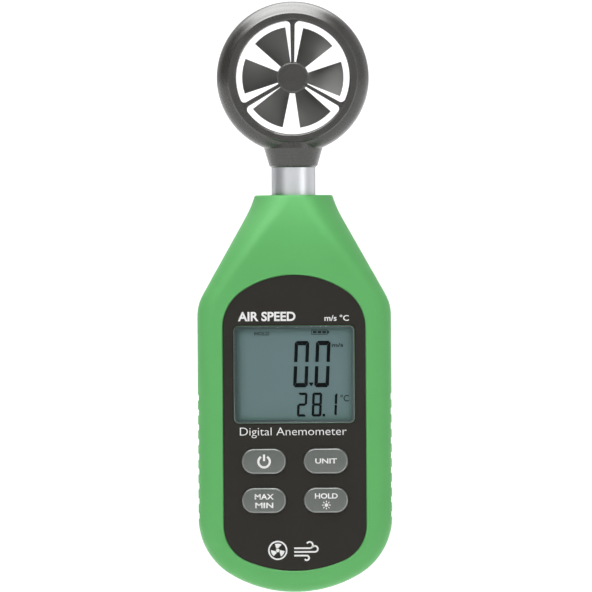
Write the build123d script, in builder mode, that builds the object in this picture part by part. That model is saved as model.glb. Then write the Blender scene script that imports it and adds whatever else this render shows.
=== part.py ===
"""Handheld vane anemometer: a two-shell body, a metal neck and a ducted six-blade vane.

Row frame, millimetres. +Z is up, the display faces -Y and +X is to the user's right. The
origin is the mouth of the tripod socket, on the flat back of the body.
"""

import os
from math import atan2, cos, hypot, radians, sin, sqrt, tan

from build123d import *

os.makedirs("parts", exist_ok=True)

# ---------------------------------------------------------------- body shells
body_width = 52.4
body_height = 107.6
body_depth = 28.0
wall = 2.2
edge_radius = 5.0  # rounding between the faces and the sides
corner_radius = 18.0  # lower corners, seen from the front
corner_rise = 20.26  # foot of the body to the top of its lower corners
socket_height = 74.0  # tripod socket above the foot of the body

shoulder_drop = 29.6  # from the top to where the flank would meet the side with no rounding
shoulder_run = 8.0  # length below that in which the constant section turns into the shoulders
flank_angle = 29.2  # flank from the vertical, degrees
shoulder_radius = 12.0
throat_radius = 30.0  # hollow curve under the neck
throat_length = 6.2
face_slope_length = 20.1  # from the top to where front and back begin to turn inwards
face_slope_depth = 3.8
throat_edge_radius = 10.0  # corner radius at the very top, nearly a circle
top_rounding = 0.7

neck_block_length = 11.5  # solid plastic round the neck tube
seam_width = 0.3
seam_depth = 0.35
lip_height = 1.4
lip_gap = 0.1
boss_gap = 0.05  # between screw bosses that meet at the seam

# ---------------------------------------------------------------- side grips
grip_count = 9
grip_pitch = 4.0
grip_centre_height = 36.8
grip_radius = 1.3
grip_bite = 0.42
grip_end_margin = 3.4  # from each face to the end of a grip groove

# ---------------------------------------------------------------- front panel
panel_margin = 6.8
panel_top_height = 86.0
panel_foot_height = 5.7
panel_top_corner = 12.0
panel_top_rise = 14.31  # top of the panel to the foot of its upper corners
panel_foot_corner = 10.5
panel_foot_rise = 12.34  # foot of the panel to the top of its lower corners
panel_thickness = 0.9
panel_sink = 0.25  # panel face below the shell face
panel_gap = 0.12
recess_chamfer = 0.2

# ---------------------------------------------------------------- display
window_width = 32.8
window_height = 26.5
window_radius = 1.5
window_centre_height = 58.95
window_gap = 0.1
lens_chamfer = 0.35
lens_proud = 0.15  # lens face above the panel face
ledge = 0.8  # shell ledge that carries the lens
lcd_border_x = 1.6  # glass beyond the window, each side
lcd_border_z = 1.75
lcd_drop = 1.25  # glass centre below the window centre, where its contacts are
lcd_thickness = 2.0
lcd_gap = 0.1
holder_wall = 0.9
zebra_inset = 1.5  # from each side of the glass
zebra_height = 2.0
zebra_margin = 0.5

# ---------------------------------------------------------------- keys
key_width = 11.9
key_height = 6.8
key_end_flat = 0.2  # straight part of each rounded end
key_spacing_x = 16.8
key_rows = (35.5, 24.9)  # heights of the two rows
key_hole_gap = 0.15
key_proud = 0.75  # crown above the panel face
key_rounding = 0.5
key_flange = 0.8
key_flange_thickness = 0.8
key_flange_gap = 0.05
key_travel = 0.8
key_stop_gap = 0.1
mat_thickness = 1.0
mat_margin = 1.4
dome_radius = 2.4
dome_height = 0.6

# ---------------------------------------------------------------- circuit board
board_gap = 0.8  # board edge to the inside of the shell
board_thickness = 1.6
board_front_depth = 7.0  # face of the body to the front of the board
board_top_height = 79.5
board_foot_height = 12.0
board_corner = 5.0
board_screw_inset = 2.6
board_screw_heights = (17.5, 76.3)
board_screw_radius = 0.9
board_screw_head_radius = 1.7
board_screw_head = 1.1
board_screw_length = 5.0
board_boss_radius = 2.0
connector_width = 8.0
connector_depth = 4.0
connector_length = 5.0
connector_height = 74.5
chip_side = 9.0
chip_thickness = 1.3

# ---------------------------------------------------------------- cells and door
cell_radius = 5.25
cell_length = 43.7
cell_rounding = 0.6
nub_radius = 1.9
nub_height = 0.8
cell_count = 3
cell_gap = 0.4
tray_foot_height = 10.4
tray_wall = 1.5
tray_floor = 1.2
spring_length = 4.0
spring_radius = 2.3
spring_wire = 0.3
spring_turns = 3
spring_gap = 0.02
plate_thickness = 0.5
plate_gap = 0.05
plate_width = 8.6
door_overlap_x = 2.45  # door beyond the cells' room, each side
door_overlap_z = 4.0
door_thickness = 2.2
door_gap = 0.2
bed_gap = 0.15
bed_thickness = 1.5
bed_margin = 2.5
rail_width = 1.2
rail_thickness = 1.0
rail_root = 0.5
rail_foot_height = 18.0
rail_top_drop = 2.0  # below the top of the door
pad_width = 18.0
pad_height = 11.0
pad_depth = 0.8
pad_corner = 2.5
pad_drop = 10.0  # centre below the top of the door
pad_ribs = 4
pad_rib_pitch = 2.2
pad_rib_width = 0.9
pad_rib_margin = 2.0

# ---------------------------------------------------------------- tripod insert and screws
insert_radius = 4.5
insert_length = 8.0
insert_bore_radius = 2.55  # tapping size of a 1/4 inch, 20 threads per inch socket
insert_gap = 0.02
insert_chamfer = 0.3
insert_boss_wall = 2.2
insert_floor = 1.5
case_screw_radius = 1.3
case_screw_head_radius = 2.3
case_screw_head = 1.6
case_screw_length = 16.0
case_boss_radius = 2.9
screw_seat_depth = 4.0  # back of the body to the underside of the screw heads
screw_gap = 0.2  # round shanks and heads
thread_gap = 0.02  # round the part of a screw that bites
upper_screw_x = 13.5
upper_screw_height = 83.5
lower_screw_x = 10.0
lower_screw_height = 6.2

# ---------------------------------------------------------------- neck
tube_radius = 5.95
tube_wall = 0.95
tube_show = 7.5  # length seen between the body and the head
tube_depth = 9.6  # length held inside the body
flange_lip = 0.8  # flange beyond the tube, each side
flange_corner = 3.0
flange_thickness = 1.5
flange_drop = 5.5  # top of the flange below the top of the body
neck_fit = 0.05

# ---------------------------------------------------------------- head
duct_radius = 15.5
ring_width = 5.1
head_depth = 16.0
duct_rounding = 0.5
rim_width = 1.9  # flat rim round the duct
rim_flare = 0.4
rim_step = 0.5
head_shoulder = 2.6  # straight part of the outer wall, each side of the seam
head_wall = 1.5
duct_wall = 1.4
hollow_depth = 5.6
collar_lip = 0.45  # foot of the collar beyond the tube
collar_taper = 16.0  # degrees
collar_flare = 1.5  # growth of the collar's radius
collar_length = 3.8  # foot of the collar to the ring
collar_foot_chamfer = 0.5
head_lip = 0.7
head_lip_height = 0.8
spigot_length = 12.0
spigot_wall = 1.45
spoke_count = 3
spoke_root_width = 1.15
spoke_tip_width = 0.6
spoke_depth = 1.8
spoke_setback = 0.7  # spokes behind the rim face
spoke_root_fillet = 1.2
spoke_land = 0.05  # the band that carries the spokes stands this proud of the duct wall
spider_hub_radius = 3.9
spider_hub_depth = 3.2
spider_hub_setback = 0.4
spider_hub_rounding = 0.2
jewel_radius = 1.4
jewel_length = 1.6
jewel_floor = 0.4
jewel_gap = 0.01

# ---------------------------------------------------------------- vane
blade_count = 6
blade_sweep = 40.0  # degrees of the circle that one blade covers
blade_gap = 1.75  # blade tips to the wall of the duct
blade_axial = 5.6  # front edge to back edge
blade_thickness = 1.1
blade_offset = -2.0  # middle of the first blade from +X, degrees
blade_stations = 5
vane_hub_radius = 4.3
vane_hub_length = 7.0
vane_hub_rounding = 0.6
shaft_radius = 0.6
shaft_clearance = 0.04
shaft_end_gap = 0.1
shaft_seat_gap = 0.01

# ---------------------------------------------------------------- sensors in the collar
sensor_room_wall = 1.9
sensor_floor_rise = 3.9  # above the foot of the collar
sensor_board_width = 7.4
sensor_board_depth = 9.0
sensor_board_thickness = 0.8
optic_width = 3.0
optic_depth = 2.0
optic_height = 2.0
optic_eye_radius = 0.5
optic_window_radius = 1.5
bead_radius = 0.75
bead_setback = 3.6  # thermistor behind the seam plane
bead_hole_radius = 1.0
bead_drop = 0.9  # centre of the bead below the wall of the duct
bead_wire_radius = 0.25
cable_radius = 1.3

# ---------------------------------------------------------------- places that follow
bottom_z = -socket_height
body_top_z = bottom_z + body_height
mid_y = -body_depth / 2
front_y = -body_depth
inner_front_y = front_y + wall
panel_face_y = front_y + panel_sink
panel_back_y = panel_face_y + panel_thickness
window_z = bottom_z + window_centre_height
lcd_width = window_width + 2 * lcd_border_x
lcd_height = window_height + 2 * lcd_border_z
lcd_z = window_z - lcd_drop
lcd_front_y = inner_front_y + lcd_gap
lcd_back_y = lcd_front_y + lcd_thickness
board_front_y = front_y + board_front_depth
board_back_y = board_front_y + board_thickness
board_half = body_width / 2 - wall - board_gap
board_top_z = bottom_z + board_top_height
board_foot_z = bottom_z + board_foot_height
mat_front_y = board_front_y - mat_thickness
key_corner = (key_height - key_end_flat) / 2
key_back_y = mat_front_y - dome_height - key_travel - key_stop_gap
key_flange_y = inner_front_y + key_flange_gap

bed_y = -(door_thickness + bed_gap)
bed_inner_y = bed_y - bed_thickness
cell_y = bed_y - cell_gap - cell_radius
tray_floor_y = cell_y - cell_radius - cell_gap / 2
tray_half = (cell_count * 2 * cell_radius + (cell_count + 1) * cell_gap) / 2
tray_foot_z = bottom_z + tray_foot_height
plate_space = plate_thickness + plate_gap
tray_top_z = tray_foot_z + 2 * plate_space + spring_length + cell_length + nub_height
tray_z = (tray_foot_z + tray_top_z) / 2
door_half = tray_half + door_overlap_x
door_top_z = tray_top_z + door_overlap_z
rail_foot_z = bottom_z + rail_foot_height
rail_top_z = door_top_z - rail_top_drop
rail_half = door_half + rail_width
below_z = bottom_z - 5  # clear of the foot of the body

flange_side = 2 * (tube_radius + flange_lip)
collar_radius = tube_radius + collar_lip
collar_top_radius = collar_radius + collar_flare
sensor_room_radius = collar_top_radius - sensor_room_wall
collar_foot_z = body_top_z + tube_show
tube_foot_z = body_top_z - tube_depth
tube_bore = tube_radius - tube_wall
spigot_radius = tube_bore - neck_fit
spigot_bore = spigot_radius - spigot_wall
flange_top_z = body_top_z - flange_drop
neck_block_z = body_top_z - neck_block_length
head_radius = duct_radius + ring_width
rim_radius = duct_radius + rim_width
rim_foot_radius = rim_radius + rim_flare
blade_radius = duct_radius - blade_gap
head_z = collar_foot_z + collar_length + head_radius
head_centre = Vector(0, mid_y, head_z)
vane_axis = Axis(head_centre, (0, 1, 0))
sensor_floor_z = collar_foot_z + sensor_floor_rise
half_duct = head_depth / 2
hub_inner = half_duct - spider_hub_setback - spider_hub_depth  # seam plane to the hub's inner face
shaft_half = hub_inner + jewel_length - jewel_floor - shaft_end_gap


def facing(y):
    """Drawing plane at depth y, as the user sees it. It extrudes towards -Y."""
    return Plane.XZ.offset(-y)


def level(z):
    """Drawing plane at height z, seen from above and centred on the seam plane."""
    return Plane((0, mid_y, z))


def across_duct(y):
    """Drawing plane at y from the seam plane, centred on the vane's axis. It extrudes towards -Y."""
    return Plane((0, mid_y + y, head_z), x_dir=(1, 0, 0), z_dir=(0, -1, 0))


def mirrored(x, z):
    """The two places (x, z) and (-x, z)."""
    return [(-x, z), (x, z)]


def save(piece, name):
    """Labels a finished piece and writes it as its own STEP file."""
    piece.label = name
    export_step(piece, f"parts/{name}.step")


upper_screws = mirrored(upper_screw_x, bottom_z + upper_screw_height)
lower_screws = mirrored(lower_screw_x, bottom_z + lower_screw_height)
case_screws_at = upper_screws + lower_screws
board_screw_x = board_half - board_screw_inset
board_screws_at = [
    place for height in board_screw_heights for place in mirrored(board_screw_x, bottom_z + height)
]
key_x = key_spacing_x / 2
upper_row_z, lower_row_z = (bottom_z + height for height in key_rows)
keys_at = {
    "key_power": (-key_x, upper_row_z),
    "key_unit": (key_x, upper_row_z),
    "key_max_min": (-key_x, lower_row_z),
    "key_hold_light": (key_x, lower_row_z),
}


# ---------------------------------------------------------------- outlines
def rounded_end(half, end_z, corner, rise, inset, sign):
    """Points of one rounded end: side, middle of the corner, junction, and apex.

    The end is a corner arc and then a shallow arc, tangent to each other. The corner ends rise
    away from the apex. sign is -1 for a lower end and +1 for an upper one, and inset moves the
    whole end inwards.
    """
    corner_x = half - corner
    arc = (corner_x**2 + rise**2 - corner**2) / (2 * (rise - corner))
    corner_z = end_z - sign * rise
    turn = atan2(arc - rise, corner_x)
    radius = corner - inset
    side = (half - inset, corner_z)
    middle = (corner_x + radius * cos(turn / 2), corner_z + sign * radius * sin(turn / 2))
    junction = (corner_x + radius * cos(turn), corner_z + sign * radius * sin(turn))
    apex = (0, end_z - sign * inset)
    return side, middle, junction, apex


def flip(point):
    """The point mirrored in the body's centre plane."""
    return (-point[0], point[1])


def end_arcs(end):
    """One rounded end as arcs, from its right side to its left side."""
    side, middle, junction, apex = end
    with BuildLine() as arcs:
        ThreePointArc(side, middle, junction)
        ThreePointArc(junction, apex, flip(junction))
        ThreePointArc(flip(junction), flip(middle), flip(side))
    return arcs.line


def panel_face():
    """The outline of the front panel's recess."""
    half = body_width / 2 - panel_margin
    top_z = bottom_z + panel_top_height
    foot_z = bottom_z + panel_foot_height
    top = rounded_end(half, top_z, panel_top_corner, panel_top_rise, 0, 1)
    foot = rounded_end(half, foot_z, panel_foot_corner, panel_foot_rise, 0, -1)
    with BuildSketch() as face:
        with BuildLine():
            add(end_arcs(top))
            Line(flip(top[0]), flip(foot[0]))
            add(end_arcs(foot))
            Line(foot[0], top[0])
        make_face()
    return face.sketch


def key_faces(margin):
    """All four key outlines, each grown by margin."""
    with BuildSketch() as faces:
        with Locations(*keys_at.values()):
            RectangleRounded(key_width + 2 * margin, key_height + 2 * margin, key_corner + margin)
    return faces.sketch


# ---------------------------------------------------------------- body envelope
flank = radians(flank_angle)
shoulder_z = body_top_z - shoulder_drop
straight_end_z = shoulder_z - shoulder_run
shoulder_tangent = shoulder_radius * tan(flank / 2)
arc_start_z = shoulder_z - shoulder_tangent
arc_end_z = shoulder_z + shoulder_tangent * cos(flank)
slope_z = body_top_z - face_slope_length
throat_z = body_top_z - throat_length


def half_width(z):
    """Half the body's width at height z: side, shoulder arc, straight flank, hollow throat."""
    side = body_width / 2
    if z <= arc_start_z:
        return side
    if z < arc_end_z:
        return side - shoulder_radius + sqrt(shoulder_radius**2 - (z - arc_start_z) ** 2)
    if z <= throat_z:
        return side - (z - shoulder_z) * tan(flank)
    start = side - (throat_z - shoulder_z) * tan(flank)
    rise = z - throat_z - throat_radius * sin(flank)
    return start + throat_radius * cos(flank) - sqrt(throat_radius**2 - rise**2)


def half_depth(z):
    """Half the body's depth at height z."""
    share = max(0.0, (z - slope_z) / (body_top_z - slope_z))
    return body_depth / 2 - face_slope_depth * share**2


def section_radius(z):
    """Corner radius of the body's section: the edge radius below, almost round at the neck."""
    share = max(0.0, (z - shoulder_z) / (body_top_z - shoulder_z))
    return edge_radius + (throat_edge_radius - edge_radius) * share


def shoulder_levels(top_z):
    """Heights of the body's sections above its straight part, the last one at top_z."""
    levels = [straight_end_z, (straight_end_z + arc_start_z) / 2, arc_start_z]
    levels += [arc_start_z + (arc_end_z - arc_start_z) * k / 3 for k in (1, 2, 3)]
    levels += [(arc_end_z + slope_z) / 2, slope_z]
    levels += [slope_z + (throat_z - slope_z) * k / 4 for k in (1, 2, 3, 4)]
    levels += [throat_z + (body_top_z - throat_z) * k / 3 for k in (1, 2, 3)]
    return [z for z in levels if z < top_z - 0.5] + [top_z]


def body_envelope(inset, top_z):
    """The body's outer shape, moved inwards by inset and cut level at top_z."""
    foot = rounded_end(body_width / 2, bottom_z, corner_radius, corner_rise, inset, -1)
    with BuildPart() as envelope:
        with BuildSketch(facing(-inset)):
            with BuildLine():
                add(end_arcs(foot))
                top_right = (foot[0][0], straight_end_z)
                Polyline(flip(foot[0]), flip(top_right), top_right, foot[0])
            make_face()
        extrude(amount=body_depth - 2 * inset)
        for end in (0, -1):
            rim = envelope.edges().group_by(Axis.Y)[end]
            fillet([edge for edge in rim if edge.center().Z < straight_end_z - 1], edge_radius - inset)
        for z in shoulder_levels(top_z):
            with BuildSketch(level(z)):
                RectangleRounded(
                    2 * (half_width(z) - inset),
                    2 * (half_depth(z) - inset),
                    section_radius(z) - inset,
                )
        loft()
    return envelope.part


with BuildPart() as outer_shape:
    add(body_envelope(0, body_top_z))
    fillet(outer_shape.faces().sort_by(Axis.Z)[-1].edges(), top_rounding)

cavity_shape = body_envelope(wall, neck_block_z)


# ---------------------------------------------------------------- spaces that both shells share
def slab(rear_y, front):
    """A block wider and taller than the body, from rear_y to front, both measured along Y."""
    with BuildPart() as result:
        with BuildSketch(facing(rear_y)):
            with Locations((0, bottom_z + body_height / 2)):
                Rectangle(2 * body_width, 2 * body_height)
        extrude(amount=rear_y - front)
    return result.part


with BuildPart() as lip:  # stands on the front shell, inside the rear shell's outer skin
    add(slab(mid_y + lip_height, mid_y - wall / 4))
    add(body_envelope(wall / 2 + lip_gap, neck_block_z), mode=Mode.INTERSECT)
    add(cavity_shape, mode=Mode.SUBTRACT)

with BuildPart() as lip_space:
    add(slab(mid_y + lip_height + lip_gap, mid_y))
    add(body_envelope(wall / 2, neck_block_z), mode=Mode.INTERSECT)
    add(body_envelope(wall + lip_gap, neck_block_z - lip_gap), mode=Mode.SUBTRACT)

with BuildPart() as seam_space:
    add(slab(mid_y + seam_width / 2, mid_y - seam_width / 2))
    add(body_envelope(seam_depth, body_top_z), mode=Mode.SUBTRACT)

with BuildPart() as neck_space:
    with BuildSketch(level(neck_block_z - 1)):
        Circle(tube_radius + neck_fit)
    extrude(amount=neck_block_length + 2)
    with BuildSketch(level(flange_top_z - flange_thickness - neck_fit)):
        RectangleRounded(flange_side + 2 * neck_fit, flange_side + 2 * neck_fit, flange_corner)
    extrude(amount=flange_thickness + 2 * neck_fit)

grip_x = body_width / 2 + grip_radius - grip_bite
grip_foot_z = bottom_z + grip_centre_height - grip_pitch * (grip_count - 1) / 2
with BuildPart() as grip_space:
    with BuildSketch(facing(-grip_end_margin)):
        for k in range(grip_count):
            with Locations(*mirrored(grip_x, grip_foot_z + k * grip_pitch)):
                Circle(grip_radius)
    extrude(amount=body_depth - 2 * grip_end_margin)

# ---------------------------------------------------------------- front shell
front_bite = screw_seat_depth + case_screw_length + mid_y  # length of a case screw held in front
with BuildPart() as front_case:
    add(outer_shape.part)
    add(cavity_shape, mode=Mode.SUBTRACT)
    split(bisect_by=facing(mid_y), keep=Keep.TOP)
    add(lip.part)
    with BuildSketch(facing(board_front_y)):  # board bosses
        with Locations(*board_screws_at):
            Circle(board_boss_radius)
    extrude(amount=board_front_y - inner_front_y + wall / 4)
    with BuildSketch(facing(mid_y - boss_gap)):  # screw bosses
        with Locations(*case_screws_at):
            Circle(case_boss_radius)
    extrude(amount=mid_y - boss_gap - inner_front_y + wall / 4)
    with BuildSketch(facing(mid_y)):
        with Locations(*case_screws_at):
            Circle(case_screw_radius + thread_gap)
    extrude(amount=front_bite + 0.5, mode=Mode.SUBTRACT)
    with BuildSketch(facing(board_front_y)):
        with Locations(*board_screws_at):
            Circle(board_screw_radius + thread_gap)
    extrude(amount=board_screw_length - board_thickness + 0.4, mode=Mode.SUBTRACT)
    with BuildSketch(facing(panel_back_y)):  # panel recess with a fine chamfer
        add(panel_face())
    extrude(amount=body_depth, mode=Mode.SUBTRACT)
    with BuildSketch(facing(front_y + recess_chamfer)):
        add(panel_face())
    extrude(amount=2 * recess_chamfer, taper=-45, mode=Mode.SUBTRACT)
    with BuildSketch(facing(inner_front_y + 1)):  # display and key openings
        with Locations((0, window_z)):
            RectangleRounded(
                window_width - 2 * ledge, window_height - 2 * ledge, window_radius - ledge / 2
            )
        add(key_faces(key_hole_gap))
    extrude(amount=wall + 2, mode=Mode.SUBTRACT)
    add(neck_space.part, mode=Mode.SUBTRACT)
    add(grip_space.part, mode=Mode.SUBTRACT)
    add(seam_space.part, mode=Mode.SUBTRACT)
save(front_case.part, "front_case")

# ---------------------------------------------------------------- rear shell
bed_top_z = door_top_z + bed_margin
with BuildPart() as door_bed:  # solid plastic under and beside the door, inside the body's outline
    with BuildSketch(facing(-door_thickness / 2)):
        with Locations((0, (bottom_z + bed_top_z) / 2)):
            Rectangle(2 * (rail_half + bed_margin), bed_top_z - bottom_z)
    extrude(amount=-door_thickness / 2 - bed_inner_y)
    add(outer_shape.part, mode=Mode.INTERSECT)

with BuildPart() as rear_case:
    add(outer_shape.part)
    add(cavity_shape, mode=Mode.SUBTRACT)
    split(bisect_by=facing(mid_y), keep=Keep.BOTTOM)
    add(door_bed.part)
    with BuildSketch(facing(bed_inner_y + bed_thickness / 2)):  # battery tray
        with Locations((0, tray_z)):
            Rectangle(2 * (tray_half + tray_wall), tray_top_z - tray_foot_z + 2 * tray_wall)
    extrude(amount=bed_inner_y + bed_thickness / 2 - tray_floor_y + tray_floor)
    with BuildSketch(facing(mid_y)):  # room for the front shell's bosses
        with Locations(*case_screws_at):
            Circle(case_boss_radius + boss_gap)
    extrude(amount=body_depth / 2, mode=Mode.SUBTRACT)
    with BuildSketch(facing(-wall / 2)):  # bosses for the case screws and the tripod insert
        with Locations(*case_screws_at):
            Circle(case_boss_radius)
    extrude(amount=-wall / 2 - mid_y - boss_gap)
    with BuildSketch(facing(-wall / 2)):
        Circle(insert_radius + insert_boss_wall)
    extrude(amount=insert_length + insert_floor - wall / 2)
    recess_top_z = door_top_z + door_gap
    with BuildSketch(facing(bed_y)):  # door recess, open at the foot of the body
        with Locations((0, (recess_top_z + below_z) / 2)):
            Rectangle(2 * (door_half + door_gap), recess_top_z - below_z)
    extrude(amount=bed_y - 1, mode=Mode.SUBTRACT)
    groove_top_z = rail_top_z + door_gap
    with BuildSketch(facing(bed_y)):  # grooves for the door's rails
        with Locations((0, (groove_top_z + below_z) / 2)):
            Rectangle(2 * (rail_half + door_gap), groove_top_z - below_z)
    extrude(amount=-(rail_thickness + bed_gap + door_gap), mode=Mode.SUBTRACT)
    with BuildSketch(facing(1)):  # room for the cells
        with Locations((0, tray_z)):
            Rectangle(2 * tray_half, tray_top_z - tray_foot_z)
    extrude(amount=1 - tray_floor_y, mode=Mode.SUBTRACT)
    with BuildSketch(facing(1)):  # screw holes and the wells of the screw heads
        with Locations(*case_screws_at):
            Circle(case_screw_radius + screw_gap)
    extrude(amount=1 - mid_y, mode=Mode.SUBTRACT)
    with BuildSketch(facing(1)):
        with Locations(*case_screws_at):
            Circle(case_screw_head_radius + screw_gap)
    extrude(amount=1 + screw_seat_depth, mode=Mode.SUBTRACT)
    with BuildSketch(facing(1)):  # seat of the tripod insert
        Circle(insert_radius + insert_gap)
    extrude(amount=1 + insert_length, mode=Mode.SUBTRACT)
    add(lip_space.part, mode=Mode.SUBTRACT)
    add(neck_space.part, mode=Mode.SUBTRACT)
    add(grip_space.part, mode=Mode.SUBTRACT)
    add(seam_space.part, mode=Mode.SUBTRACT)
save(rear_case.part, "rear_case")

# ---------------------------------------------------------------- battery door
pad_z = door_top_z - pad_drop
with BuildPart() as battery_door:
    with BuildSketch(facing(1)):
        with Locations((0, (below_z + door_top_z) / 2)):
            Rectangle(2 * door_half, door_top_z - below_z)
    extrude(amount=1 + door_thickness)
    add(outer_shape.part, mode=Mode.INTERSECT)
    with BuildSketch(facing(rail_thickness - door_thickness)):  # rails that run in the shell's grooves
        rail_z = (rail_foot_z + rail_top_z) / 2
        with Locations(*mirrored(door_half + (rail_width - rail_root) / 2, rail_z)):
            Rectangle(rail_width + rail_root, rail_top_z - rail_foot_z)
    extrude(amount=rail_thickness)
    with BuildSketch(facing(1)):  # thumb pad
        with Locations((0, pad_z)):
            RectangleRounded(pad_width, pad_height, pad_corner)
    extrude(amount=1 + pad_depth, mode=Mode.SUBTRACT)
    with BuildSketch(facing(0)):
        for k in range(pad_ribs):
            with Locations((0, pad_z + (k - (pad_ribs - 1) / 2) * pad_rib_pitch)):
                Rectangle(pad_width - 2 * pad_rib_margin, pad_rib_width)
    extrude(amount=pad_depth + 0.2)
save(battery_door.part, "battery_door")

# ---------------------------------------------------------------- tripod insert and screws
with BuildPart() as tripod_insert:
    with BuildSketch(facing(0)):
        Circle(insert_radius)
        Circle(insert_bore_radius, mode=Mode.SUBTRACT)
    extrude(amount=insert_length)
    rims = tripod_insert.edges().filter_by(GeomType.CIRCLE).sort_by(SortBy.RADIUS)
    chamfer(rims[-2:], insert_chamfer)
save(tripod_insert.part, "tripod_insert")


def screws(places, head_radius, head, radius, length, seat_y):
    """Pan-head screws with a cross slot, driven in from the back. seat_y is the underside of a head."""
    slot = head_radius / 4
    with BuildPart() as result:
        with BuildSketch(facing(seat_y + head)):
            with Locations(*places):
                Circle(head_radius)
        extrude(amount=head)
        fillet(result.edges().filter_by(GeomType.CIRCLE).group_by(Axis.Y)[-1], head * 0.4)
        with BuildSketch(facing(seat_y)):
            with Locations(*places):
                Circle(radius)
        extrude(amount=length)
        chamfer(result.edges().filter_by(GeomType.CIRCLE).group_by(Axis.Y)[0], radius * 0.4)
        with BuildSketch(facing(seat_y + head)):
            with Locations(*places):
                Rectangle(head_radius * 1.2, slot)
                Rectangle(slot, head_radius * 1.2)
        extrude(amount=head * 0.6, mode=Mode.SUBTRACT)
    return result.part


case_screws = screws(
    case_screws_at,
    case_screw_head_radius,
    case_screw_head,
    case_screw_radius,
    case_screw_length,
    -screw_seat_depth,
)
save(case_screws, "case_screws")

pcb_screws = screws(
    board_screws_at,
    board_screw_head_radius,
    board_screw_head,
    board_screw_radius,
    board_screw_length,
    board_back_y,
)
save(pcb_screws, "pcb_screws")

# ---------------------------------------------------------------- cells and their contacts
cells_x = [(k - (cell_count - 1) / 2) * (2 * cell_radius + cell_gap) for k in range(cell_count)]
stack_foot_z = tray_foot_z + plate_space
stack_top_z = tray_top_z - plate_space
for k, x in enumerate(cells_x):
    upright = k % 2 == 0  # every second cell is turned over
    foot_z = stack_foot_z + (spring_length if upright else nub_height)
    nub_z = foot_z + cell_length if upright else stack_foot_z
    with BuildPart() as cell:
        with BuildSketch(Plane((x, cell_y, foot_z))):
            Circle(cell_radius)
        extrude(amount=cell_length)
        fillet(cell.edges().filter_by(GeomType.CIRCLE), cell_rounding)
        with BuildSketch(Plane((x, cell_y, nub_z))):
            Circle(nub_radius)
        extrude(amount=nub_height)
    save(cell.part, f"battery_{k + 1}")

coil_height = spring_length - 2 * spring_wire - 2 * spring_gap


def spring(x, end_z, sign):
    """One coil at x, standing on the plate at end_z and rising (sign +1) or hanging (-1)."""
    with BuildPart() as result:
        with BuildLine() as coil:
            Helix(
                pitch=coil_height / spring_turns,
                height=coil_height,
                radius=spring_radius,
                center=(x, cell_y, end_z + sign * (spring_wire + spring_gap)),
                direction=(0, 0, sign),
            )
        with BuildSketch(Plane(coil.line @ 0, z_dir=coil.line % 0)):
            Circle(spring_wire)
        sweep(path=coil.line, is_frenet=True)
    return result.part


with BuildPart() as battery_springs:
    for k, x in enumerate(cells_x):
        if k % 2 == 0:
            add(spring(x, stack_foot_z, 1))
        else:
            add(spring(x, stack_top_z, -1))
save(battery_springs.part, "battery_springs")

with BuildPart() as battery_plates:  # each end joins two cells and serves the third alone
    for z, lone, first, second in (
        (tray_foot_z + plate_gap, 2, 0, 1),
        (tray_top_z - plate_space, 0, 1, 2),
    ):
        with BuildSketch(Plane((0, cell_y, z))):
            with Locations((cells_x[lone], 0)):
                Rectangle(plate_width, plate_width)
            with Locations(((cells_x[first] + cells_x[second]) / 2, 0)):
                Rectangle(cells_x[second] - cells_x[first] + plate_width, plate_width)
        extrude(amount=plate_thickness)
save(battery_plates.part, "battery_plates")

# ---------------------------------------------------------------- front panel, lens and display
with BuildPart() as front_panel:
    with BuildSketch(facing(panel_back_y)):
        add(panel_face())
        offset(amount=-panel_gap)
        with Locations((0, window_z)):
            RectangleRounded(window_width, window_height, window_radius, mode=Mode.SUBTRACT)
    extrude(amount=panel_thickness)
    with BuildSketch(facing(panel_back_y)):
        add(key_faces(key_hole_gap))
    extrude(amount=panel_thickness, mode=Mode.SUBTRACT)
save(front_panel.part, "front_panel")

with BuildPart() as display_lens:
    with BuildSketch(facing(panel_back_y)):
        with Locations((0, window_z)):
            RectangleRounded(
                window_width - 2 * window_gap,
                window_height - 2 * window_gap,
                window_radius - window_gap,
            )
    extrude(amount=panel_thickness + lens_proud)
    chamfer(display_lens.edges().group_by(Axis.Y)[0], lens_chamfer)
save(display_lens.part, "display_lens")

lcd_foot_z = lcd_z - lcd_height / 2
lcd_top_z = lcd_z + lcd_height / 2
zebra_z = lcd_foot_z + zebra_margin + zebra_height / 2
light_foot_z = zebra_z + zebra_height / 2 + zebra_margin
with BuildPart() as lcd_glass:
    with BuildSketch(facing(lcd_back_y)):
        with Locations((0, lcd_z)):
            Rectangle(lcd_width, lcd_height)
    extrude(amount=lcd_thickness)
save(lcd_glass.part, "lcd_glass")

with BuildPart() as zebra_strip:
    with BuildSketch(facing(board_front_y)):
        with Locations((0, zebra_z)):
            Rectangle(lcd_width - 2 * zebra_inset, zebra_height)
    extrude(amount=board_front_y - lcd_back_y)
save(zebra_strip.part, "zebra_strip")

with BuildPart() as backlight:
    with BuildSketch(facing(board_front_y)):
        with Locations((0, (light_foot_z + lcd_top_z) / 2)):
            Rectangle(lcd_width, lcd_top_z - light_foot_z)
    extrude(amount=board_front_y - lcd_back_y)
save(backlight.part, "backlight")

with BuildPart() as lcd_holder:
    with BuildSketch(facing(board_front_y)):
        with Locations((0, lcd_z)):
            Rectangle(
                lcd_width + 2 * (lcd_gap + holder_wall), lcd_height + 2 * (lcd_gap + holder_wall)
            )
            Rectangle(lcd_width + 2 * lcd_gap, lcd_height + 2 * lcd_gap, mode=Mode.SUBTRACT)
    extrude(amount=board_front_y - lcd_front_y)
save(lcd_holder.part, "lcd_holder")

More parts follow.
